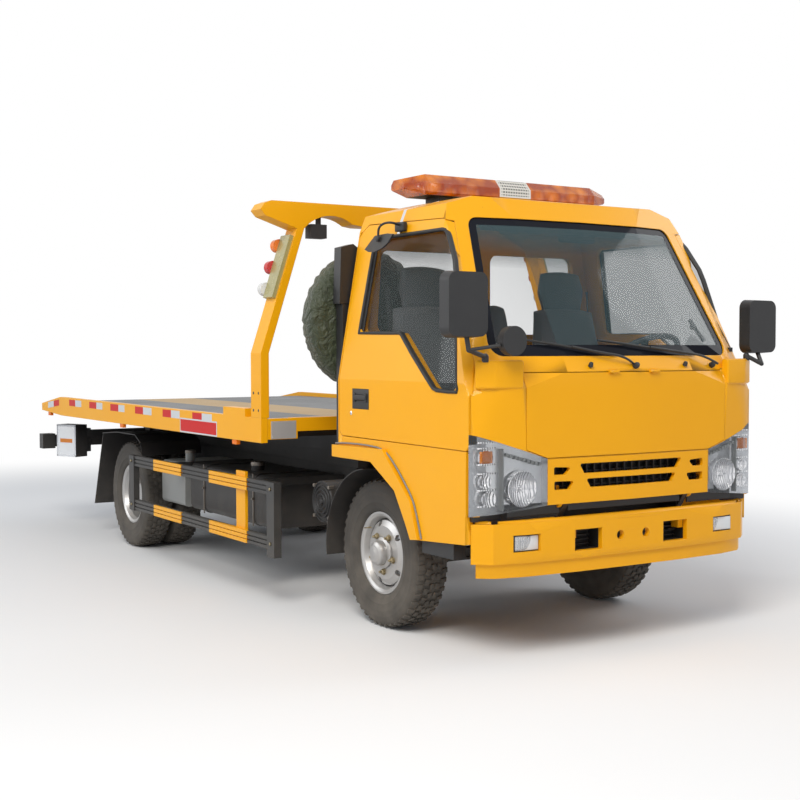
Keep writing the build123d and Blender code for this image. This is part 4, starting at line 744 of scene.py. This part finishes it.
# Window seals: black extruded rubber runs round each door window, pressed into the frame's edge. A
# rubber channel stands at the pane's rear edge, where the glass slides.
BELT = 1300  # the height over which the cab's sides lean in
SEAL_RADIUS = 9
WINDOW = [(-89, 1544), (-89, 1540), (120, 1538), (300, 1536), (321, 1533), (440, 1440), (600, 1325),
          (668, 1272), (700, 1262), (800, 1258), (866, 1258), (872, 1272), (800, 1545), (722, 1823),
          (700, 1880), (620, 1998), (590, 2028), (560, 2034), (250, 2034), (-40, 2034), (-66, 2030),
          (-68, 1990), (-80, 1750), (-89, 1544)]


def skin_y(z):
    """The cab side's distance from the middle at a height."""
    return 905 if z < BELT else 905 - (z - BELT) * 135 / 780


rubber_seal = finish_of("rubber_seal", (0.010, 0.010, 0.011), (0.018, 0.018, 0.018), 20, (0.5, 0.65))
for side, name in SIDES:
    runs = [[(x, side * (skin_y(z) - shift), z) for x, z in WINDOW] for shift in (1, 7, 13)]
    bent_rod("window_seal_" + name, runs, rubber_seal, "door_" + name, SEAL_RADIUS, False)
    channel = bmesh.new()
    corners = ((-88, 1548), (-62, 1548), (-42, 2030), (-66, 2030))
    cut_plate(channel, [(x, side * (skin_y(z) - 8), z) for x, z in corners], (0, -side * 6, 0))
    piece("window_channel_" + name, channel, rubber_seal, "door_" + name)

# Wipers: two black steel arms, sprung against the windscreen, each with a rubber blade clipped on. Their
# pivots stand in the cowl, with two plastic washer nozzles beside them.
SCREEN_LINE = [(0, 1032), (400, 1012), (771, 940), (900, 870)]  # out, forward
SCREEN_FOOT = 1422
PIVOT_Z = 1378
BLADE_STEPS = 8


def screen_x(y, z):
    """How far forward the windscreen is at a place across it and a height."""
    return swept(SCREEN_LINE, y) - (z - SCREEN_FOOT) * 374 / 675


def on_screen(y, z, out):
    """A point that stands out from the windscreen."""
    return (screen_x(y, z) + out, y, z + out * 0.5)


arms = []
blades = []
for pivot_y, tip_y, tip_z in ((5, -599, 1497), (571, -171, 1493)):
    middle = (pivot_y * 0.42 + tip_y * 0.58, PIVOT_Z + (tip_z - PIVOT_Z) * 0.66)
    arms.append([(1060, pivot_y, 1380), on_screen(pivot_y - 60, 1402, 34), on_screen(pivot_y - 200, 1424, 26),
                 on_screen(*middle, 20)])
    foot_y = pivot_y * 0.84 + tip_y * 0.16
    parts = [step / BLADE_STEPS for step in range(BLADE_STEPS + 1)]
    blades.append([on_screen(foot_y + (tip_y - foot_y) * part, SCREEN_FOOT + (tip_z - SCREEN_FOOT) * part, 10)
                   for part in parts])
bent_rod("wiper_arms", arms, black_trim, "cab", 6)
bent_rod("wiper_blades", blades, rubber_seal, "cab", 6)
pivots = bmesh.new()
for y in (5, 571):
    place = (screen_x(y, PIVOT_Z) + 22, y, PIVOT_Z)
    turned(pivots, [(0, 14), (9, 13), (13, 6), (15, 0), (15, -14)], place, (1, 0, 0.5), 20)
for y in (-263, 355):
    place = (screen_x(y, 1380) + 12, y, 1382)
    turned(pivots, [(0, 12), (8, 11), (11, 4), (12, -10)], place, (0.5, 0, 1), 16)
piece("wiper_pivots", pivots, black_trim, "cab", True)

# Mirrors: black moulded heads on tube arms, with silvered glass on their rear faces. A half-moon kerb
# mirror hangs on a bent rod from a clip at the top of the right door's frame.
MIRRORS = (  # name, middle, width, height
    ("right", 1040, -984, 1654, 196, 268), ("left", 1000, 925, 1572, 182, 254))
ROUND_GLASS = [(0, 6), (30, 5), (50, 2.5), (60, 0), (60, -3)]
MOON = [(278, -885, 2026), (190, -873, 2036), (66, -860, 2036), (-21, -870, 1971), (35, -880, 1954),
        (105, -887, 1949), (180, -890, 1962), (234, -889, 1984)]
MOON_ROD = [(205, -792, 2080), (215, -840, 2092), (190, -872, 2092), (150, -884, 2076), (132, -882, 2042),
            (136, -878, 2016)]
dress(black_trim, "mirrors")
mirror_glass = finish_of("mirror_glass", (0.86, 0.88, 0.9), (0.84, 0.86, 0.88), 2, (0.02, 0.03), metal=1.0)
for name, x, y, z, width, height in MIRRORS:
    glass = bmesh.new()
    block(glass, (x - 37, y - width / 2, z - height / 2), (x - 33, y + width / 2, z + height / 2), 1.5)
    piece("mirror_glass_" + name, glass, mirror_glass, "cab")
glass = bmesh.new()
turned(glass, ROUND_GLASS, (1077, -763, 1492), (-1, 0, 0), 36)
piece("round_mirror_glass", glass, mirror_glass, "cab", True)
moon = bmesh.new()
cut_plate(moon, MOON, (4, 9, 2))
piece("kerb_mirror", moon, black_trim, "door_right")
bent_rod("kerb_mirror_rod", [MOON_ROD], black_trim, "door_right", 6)
clip = bmesh.new()
block(clip, (165, -803, 2050), (245, -776, 2096), 5, 3)
turned(clip, [(0, 10), (11, 9), (15, 4), (15, -6)], (136, -886, 2014), (0, -1, 0), 18)
piece("kerb_mirror_clip", clip, black_trim, "door_right", True)


# Aerial: a thin steel whip in a black sleeve along the left windscreen post. Two plastic clips, stuck to
# the post, hold it.
def post_point(height):
    """A point outside the left windscreen post at a height."""
    return (screen_x(800, height) - 6, 838 - (height - SCREEN_FOOT) * 0.166, height)


whip = [post_point(z) for z in (1440, 1600, 1760, 1920, 2060)]
bent_rod("aerial", [whip], black_trim, "cab", 2.6)
clips = bmesh.new()
for z in (1452, 1700):
    x, y, z = post_point(z)
    block(clips, (x - 24, y - 22, z - 11), (x + 6, y + 6, z + 11), 3)
piece("aerial_clips", clips, black_trim, "cab")

# Cab room: a moulded dark dashboard with a hooded instrument panel and a soft rim on the steering wheel,
# foam seats in dark woven cloth with stitched panels, webbing belts, sun visors and a small mirror.
SEATS = (  # name, across, width, top
    ("driver", 470, 440, 1900), ("passenger", -470, 440, 1900), ("middle", 0, 285, 1700))
BELT_EDGE = [(-100, 700, 1790), (-80, 690, 1560), (90, 560, 1260), (150, 540, 1236), (105, 545, 1262),
             (-62, 680, 1575), (-88, 672, 1790)]
dark_plastic = finish_of("dark_plastic", (0.030, 0.031, 0.034), (0.045, 0.046, 0.05), 12, (0.5, 0.7),
                         bump=0.4, bump_scale=700, edge=0.003)
dress(dark_plastic, "dashboard")
seat_cloth = finish_of("seat_cloth", (0.09, 0.095, 0.105), (0.14, 0.145, 0.155), 60, (0.85, 0.95),
                       bump=0.3, bump_scale=700, sheen=0.1)


def cushion(name, centre, size, lean, puff, panels):
    """A foam pad with crowned faces and stitched panels, leaning by an angle about Y."""
    shape = bmesh.new()
    bmesh.ops.create_cube(shape, size=1)
    bmesh.ops.subdivide_edges(shape, edges=shape.edges, cuts=11, use_grid_fill=True)
    half = Matrix.Diagonal(Vector(size) / 2000)
    tip = Matrix.Rotation(math.radians(lean), 3, "Y")
    for vert in shape.verts:
        u, v, w = (2 * value for value in vert.co)
        round_off = 1 - 0.10 * (abs(u * v * w) + 0.35 * (u * u * v * v + v * v * w * w + u * u * w * w))
        stitch = 1 - 0.16 * max(0.0, 1 - abs((v * panels) % 2 - 1) * 9) if panels else 1
        crown_x = math.copysign((1 - v * v) * (1 - w * w), u) * (abs(u) > 0.99)
        crown_z = math.copysign((1 - u * u) * (1 - v * v), w) * (abs(w) > 0.99)
        push = Vector((crown_x, 0, crown_z)) * puff / 1000 * stitch
        vert.co = tip @ (half @ Vector((u, v, w)) * round_off + push) + at(*centre)
    piece(name, shape, seat_cloth, "cab", True)


for name, y, width, top in SEATS:
    cushion("seat_base_" + name, (225, y, 1178), (510, width, 96), 3, 14, 3)
    cushion("seat_back_" + name, (-18, y, (950 + top) / 2), (92, width, top - 1390), -7, 12, 3)
    cushion("seat_head_" + name, (-72, y, top - 118), (72, width - 150, 214), -5, 10, 0)
    plinth = bmesh.new()
    block(plinth, (30, y - width / 2 + 40, 926), (430, y + width / 2 - 40, 1135), 8)
    base = piece("seat_plinth_" + name, plinth, dark_plastic, "cab")
    if name == "driver":
        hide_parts("seats")
belts = bmesh.new()
for side in (1, -1):
    cut_plate(belts, [(x, side * y, z) for x, y, z in BELT_EDGE], (1.6, 0, 0))
piece("seat_belts", belts, rubber_seal, "cab")
fittings = bmesh.new()
block(fittings, (620, -120, 1995), (640, 120, 2062), 12, 3)
for side in (-1, 1):
    block(fittings, (560, side * 180, 2040), (580, side * 560, 2155), 8, 3)
    block(fittings, (640, side * 788, 1560), (668, side * 812, 1590), 6, 3)
block(fittings, (700, 250, 1372), (905, 660, 1428), 24, 4)
block(fittings, (675, -220, 1170), (705, 220, 1330), 12, 3)
for y in (-560, -280, 280, 600):
    block(fittings, (688, y - 55, 1290), (716, y + 55, 1336), 6, 3)
piece("cab_fittings", fittings, dark_plastic, "cab", True)
handles = [[(640, side * 792, 1610), (700, side * 775, 1560), (760, side * 775, 1500)] for side in (1, -1)]
bent_rod("grab_handles", handles, dark_plastic, "cab", 11)

# Light bar: an amber moulded lens over reflectors and lamps, with a perforated bright grille in the
# middle, on a black base with two feet screwed to the roof.
HOLE = 0.017  # metres, as the two sizes after it
GRILLE_HALF = 0.105
HOLES_FROM = 2.285
AMBER = (0.90, 0.26, 0.008, 1)
DEEP_AMBER = (0.42, 0.06, 0.002, 1)
BAR_LAMP = [(0, -10), (20, -10), (34, 0), (40, 22), (41, 22), (41, -14)]
END_LAMP = [(0, 0), (18, 4), (30, 18), (31, 18), (31, -4)]


def within(value, pitch):
    """Where a value lies in its cell of an even pattern, from -0.5 to 0.5."""
    return calc("SUBTRACT", calc("FRACT", calc("DIVIDE", value, pitch)), 0.5)


bar_lens = glass_of("bar_lens", AMBER[:3], 0.78, 1.0, rough=0.12, coat=0.3)
tree = bar_lens.node_tree
surface = tree.nodes["Principled BSDF"]
emboss(bar_lens, flutes(tree, 26.0, 0.0), 0.25, 0.003)
cells = node_in(tree, "ShaderNodeTexVoronoi", Vector=own_place(tree), Scale=13.0)
ramp = node_in(tree, "ShaderNodeValToRGB", Fac=cells.outputs["Distance"])
for stop, place, colour in ((0, 0.15, AMBER), (1, 0.75, DEEP_AMBER)):
    ramp.color_ramp.elements[stop].position = place
    ramp.color_ramp.elements[stop].color = colour
feed(surface.inputs["Base Color"], ramp.outputs["Color"])
_, y, z = place_of(tree)
from_middle = calc("ABSOLUTE", y)
holes = calc("MAXIMUM", calc("ABSOLUTE", within(y, HOLE)), calc("ABSOLUTE", within(z, HOLE)))
holes = calc("MULTIPLY", calc("LESS_THAN", holes, 0.27), calc("LESS_THAN", from_middle, 0.092))
holes = calc("MULTIPLY", holes, calc("GREATER_THAN", z, HOLES_FROM))
grille = node_in(tree, "ShaderNodeBsdfPrincipled", Metallic=1.0, Roughness=0.25,
                 Base_Color=tones_of(holes, (0.75, 0.72, 0.66, 1), (0.02, 0.02, 0.02, 1)))
lit = either(calc("LESS_THAN", from_middle, GRILLE_HALF), surface.outputs[0], grille.outputs[0])
feed(tree.nodes["Material Output"].inputs["Surface"], lit)
dress(bar_lens, "light_bar")
dress_part("light_bar", black_trim, lambda x, y, z: z < 2268 and abs(y) < 561)
lamps = bmesh.new()
for side in (-1, 1):
    for y in (180, 330, 480):
        turned(lamps, BAR_LAMP, (0, side * y, 2296), (0, 0, 1), 24)
        block(lamps, (-78, side * y - 3, 2284), (78, side * y + 3, 2352), 1)
    turned(lamps, END_LAMP, (30, side * 575, 2318), (1, side * 0.6, 0), 24)
piece("light_bar_reflectors", lamps, chrome, "cab", True)

# Deck: steel checker plate, grey and worn, with a paler tan strip along it, right of the middle. Raised
# lozenges lie in turn along and across, and the plate is welded to the cross members.
CELL = 0.034  # metres
LOZENGE_LENGTH = 0.62  # of a cell
LOZENGE_WIDTH = 0.16
STRIP_MIDDLE = 0.22  # metres to the right
STRIP_HALF = 0.24
STRIP_TONE = (0.50, 0.33, 0.14, 1)
deck_plate = finish_of("deck_plate", (0.19, 0.195, 0.20), (0.13, 0.13, 0.13), 2.5, (0.45, 0.65), metal=0.35)
tree = deck_plate.node_tree
surface = tree.nodes["Principled BSDF"]
x, y, _ = place_of(tree)
cell_number = calc("ADD", calc("FLOOR", calc("DIVIDE", x, CELL)), calc("FLOOR", calc("DIVIDE", y, CELL)))
odd = calc("FLOORED_MODULO", cell_number, 2.0)
even = calc("SUBTRACT", 1.0, odd)
local_x, local_y = within(x, CELL), within(y, CELL)
rising = calc("ADD", local_x, local_y)
falling = calc("SUBTRACT", local_x, local_y)
along = calc("ADD", calc("MULTIPLY", rising, even), calc("MULTIPLY", falling, odd))
across = calc("ADD", calc("MULTIPLY", falling, even), calc("MULTIPLY", rising, odd))
along = calc("POWER", calc("DIVIDE", along, LOZENGE_LENGTH), 2.0)
across = calc("POWER", calc("DIVIDE", across, LOZENGE_WIDTH), 2.0)
lozenge = calc("SUBTRACT", 1.0, calc("MINIMUM", calc("ADD", along, across), 1.0))
emboss(deck_plate, lozenge, 0.9, 0.0022)
strip = calc("LESS_THAN", calc("ABSOLUTE", calc("ADD", y, STRIP_MIDDLE)), STRIP_HALF)
plain = surface.inputs["Base Color"].links[0].from_socket
feed(surface.inputs["Base Color"], tones_of(calc("MULTIPLY", strip, 0.85), plain, STRIP_TONE))
dress(deck_plate, "deck_floor")

# Reflective tape, plates and lamps: silver and red strips stuck along the rails, a blank red plate with
# a silver border on the right rail, a blank pale plate on the front beam, and orange side markers. The
# moulded lamp panels on the posts have three lenses each, and two work lamps hang under the headframe.
RAIL_SIDE = 1099.6
TAPE_FOOT = 1015
TAPE_TOP = 1064
RAIL_HUMP = -4420
BEAM_FACE = -772.5
SILVER_RUNS = [(-4784, -4630), (-4073, -3927), (-3575, -3441), (-3097, -2973), (-2608, -2451), (-2106, -1961),
               (-1607, -1455)]
RED_RUNS = [(-4630, -4485), (-4224, -4073), (-3737, -3575), (-3266, -3097), (-2762, -2608), (-2252, -2106),
            (-1755, -1607)]


def beaded(name, base, tone, shine=0.5):
    """Reflective sheeting: a glossy colour with a fine cell pattern under a clear face."""
    return finish_of(name, base, tone, 260, (0.35, 0.45), coat=0.1, bump=0.1, bump_scale=900, shine=shine)


def rail_point(x, side, height):
    """A point on a deck rail's side, where the rail falls behind its hump."""
    return (x, side * RAIL_SIDE, height + min(0, x - RAIL_HUMP) * 0.105)


silver_tape = beaded("silver_tape", (0.62, 0.64, 0.66), (0.50, 0.52, 0.54))
red_tape = beaded("red_tape", (0.60, 0.006, 0.004), (0.50, 0.005, 0.004), 0.2)
for name, runs, material in (("silver_tape", SILVER_RUNS, silver_tape), ("red_tape", RED_RUNS, red_tape)):
    strips = bmesh.new()
    for side, (x0, x1) in itertools.product((1, -1), runs):
        corners = ((x0, TAPE_FOOT), (x1, TAPE_FOOT), (x1, TAPE_TOP), (x0, TAPE_TOP))
        cut_plate(strips, [rail_point(x, side, z) for x, z in corners], (0, side * 0.9, 0))
    piece(name, strips, material, "deck")
for name, inset, proud, material in (("border", 0, 0.7, silver_tape), ("face", 9, 0.95, red_tape)):
    plate = bmesh.new()
    block(plate, (-1955 + inset, -1099.9 - proud, 931 + inset), (-1380 - inset, -1099.4, 1023 - inset))
    piece("rail_plate_" + name, plate, material, "deck")
plain_plate = finish_of("plain_plate", (0.60, 0.60, 0.60), (0.52, 0.52, 0.53), 4, (0.3, 0.4), metal=0.5)
plate = bmesh.new()
block(plate, (-776, -1039, 951), (BEAM_FACE, -881, 1051), 1)
for y, z in itertools.product((-1028, -892), (961, 1041)):
    turned(plate, [(0, 2), (3, 1.6), (4.5, 0), (4.5, -1)], (BEAM_FACE, y, z), (1, 0, 0), 10)
piece("beam_plate", plate, plain_plate, "deck")
orange_lens = glass_of("orange_lens", (0.95, 0.22, 0.01), 0.85, 1.0)
red_lens = glass_of("red_lens", (0.62, 0.01, 0.01), 0.8, 1.0)
white_lens = glass_of("white_lens", (0.80, 0.80, 0.78), 0.7, 1.0)
panel_shell = finish_of("panel_shell", (0.38, 0.34, 0.15), (0.30, 0.27, 0.11), 8, (0.2, 0.35), coat=0.3)
dress(panel_shell, "deck_lamps")
dress_part("deck_lamps", orange_lens, lambda x, y, z: z < 990)
dress_part("deck_lamps", black_trim, lambda x, y, z: z > 2094)
for lens, low, high in ((white_lens, 1750, 1840), (red_lens, 1875, 1965), (orange_lens, 2000, 2090)):
    dress_part("deck_lamps", lens, lambda x, y, z: x < -904 and low < z < high)
work = bmesh.new()
for side in (1, -1):
    block(work, (-873, side * 668, 2102), (-869.5, side * 760, 2167), 1)
piece("head_lamp_lenses", work, white_lens, "deck")

# Headframe bolts: the headframe is folded steel plate, and four countersunk black screws through the
# foot of each post hold it to the deck's side rails.
BOLT = [(0, 0.1), (3, 0.1), (3.5, 0.6), (8, 0.7), (8, -3)]
bolts = bmesh.new()
for side, z, x in itertools.product((1, -1), (1112, 1210), (-872, -808)):
    turned(bolts, BOLT, (x, side * 1100, z), (0, side, 0), 16)
piece("headframe_bolts", bolts, black_trim, "deck")

# Winch: steel rope wound in one even layer on the bare drum, between painted side plates that are bolted
# to the deck. Its motor has cooling fins.
WINCH = (-1110, 0, 1175)
ROPE_RADIUS = 5.5
CORE_RADIUS = 62
ROPE_TURNS = 27
rope = finish_of("rope", (0.34, 0.34, 0.33), (0.24, 0.23, 0.22), 60, (0.35, 0.5), metal=0.9, bump=0.6,
                 bump_scale=900)
dress(bare_steel, "winch_drum")
profile = [(61, -149)]
for turn, part in itertools.product(range(ROPE_TURNS), range(5)):
    swing = math.pi * (part / 4 - 0.5)
    reach = CORE_RADIUS + ROPE_RADIUS * (1 + math.cos(swing))
    profile.append((reach, -148 + ROPE_RADIUS * (2 * turn + 1 + math.sin(swing))))
profile.append((61, 149))
wound = bmesh.new()
turned(wound, profile, WINCH, (0, 1, 0), 40)
piece("winch_rope", wound, rope, "winch_drum", True)
fins = bmesh.new()
for y in range(182, 308, 25):
    turned(fins, [(61, 0), (66, 2), (66, 10), (61, 12)], (WINCH[0], y, WINCH[2]), (0, 1, 0))
piece("winch_motor_fins", fins, chassis_black, "deck", True)

# Rear work lamps: black sheet housings, bolted to arms and turned outwards. Each has a bright square
# rim, a clear face and a bar of small lamps across it.
LAMP_PLACE = (-4480, 1000, 724)
LAMP_TURN = 25  # degrees
LAMP_RIM = [((-108.5, 56, -129), (108.5, 60.6, -114)), ((-108.5, 56, 114), (108.5, 60.6, 129)),
            ((-108.5, 56, -129), (-95, 60.6, 129)), ((95, 56, -129), (108.5, 60.6, 129))]
LAMP_PARTS = (("rim", chrome, "rim_paint", LAMP_RIM),
              ("face", headlamp_chrome, "lamp", [((-96, 58, -115), (96, 60.3, 115))]),
              ("bar", amber_glass, "lamp", [((-70, 58, -16), (70, 60.5, 16))]))
for side, name in SIDES:
    x, y, z = LAMP_PLACE
    outwards = Matrix.Rotation(math.radians(-LAMP_TURN * side), 4, "Z") @ Matrix.Diagonal((1, side, 1, 1))
    for part, material, slot, boxes in LAMP_PARTS:
        shape = bmesh.new()
        for corner, opposite in boxes:
            cube_between(shape, Vector(corner) / 1000, Vector(opposite) / 1000)
        stand = Matrix.Translation(at(x, side * y, z)) @ outwards
        bmesh.ops.transform(shape, matrix=stand, verts=shape.verts)
        piece("rear_lamp_" + part + "_" + name, shape, material, "tilt_frame")

# Spare wheel cover: an olive coated cloth bag pulled over the wheel behind the cab and drawn tight at
# the back with a cord, so that it puckers round the edge and sags a little between the folds.
COVER_PLACE = (-425, -620, 1613)
COVER = [(0, 90), (60, 89.6), (120, 89.2), (180, 88.8), (240, 88.4), (290, 87), (330, 83), (358, 75),
         (377, 62), (388, 44), (392, 24), (393, 0), (392, -24), (388, -44), (377, -60), (352, -72),
         (320, -82), (300, -86), (270, -87.5), (150, -88), (0, -88)]
FOLD_REACH = 0.36  # metres, as the depths of the puckers, sags and creases
FOLD_WIDTH = 0.07
PUCKER_DEPTH = 0.009
SAG_DEPTH = 0.006
CREASE_DEPTH = 0.008
cover_cloth = finish_of("cover_cloth", (0.010, 0.018, 0.006), (0.040, 0.050, 0.016), 9, (0.45, 0.65),
                        sheen=0.2)
tree = cover_cloth.node_tree
folds = node_in(tree, "ShaderNodeTexNoise", Vector=own_place(tree), Scale=15.0, Detail=3.0, Distortion=1.6)
emboss(cover_cloth, folds.outputs["Fac"], 1.0, 0.03)
bag = bmesh.new()
turned(bag, COVER, COVER_PLACE, (1, 0, 0), 120)
middle = at(*COVER_PLACE)
for vert in bag.verts:
    arm = vert.co - middle
    reach = math.hypot(arm.y, arm.z)
    if reach < 0.02:
        continue
    angle = math.atan2(arm.z, arm.y)
    pucker = math.sin(angle * 34 + 2.2 * math.sin(angle * 3)) * 0.5 + 0.5
    sag = math.sin(angle * 5 + reach * 19) * math.sin(reach * 23 + angle * 2) * 0.5 + 0.5
    crease = abs(math.sin(angle * 23 + 3 * math.sin(angle * 4 + reach * 12))) * min(1.0, reach / 0.25)
    edge_fold = max(0.0, 1 - abs(reach - FOLD_REACH) / FOLD_WIDTH)
    depth = PUCKER_DEPTH * pucker * edge_fold + SAG_DEPTH * sag * reach / 0.39 + CREASE_DEPTH * crease
    vert.co -= arm.normalized() * depth
cover = piece("spare_cover", bag, cover_cloth, "chassis", True)
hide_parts("spare_wheel_cover")
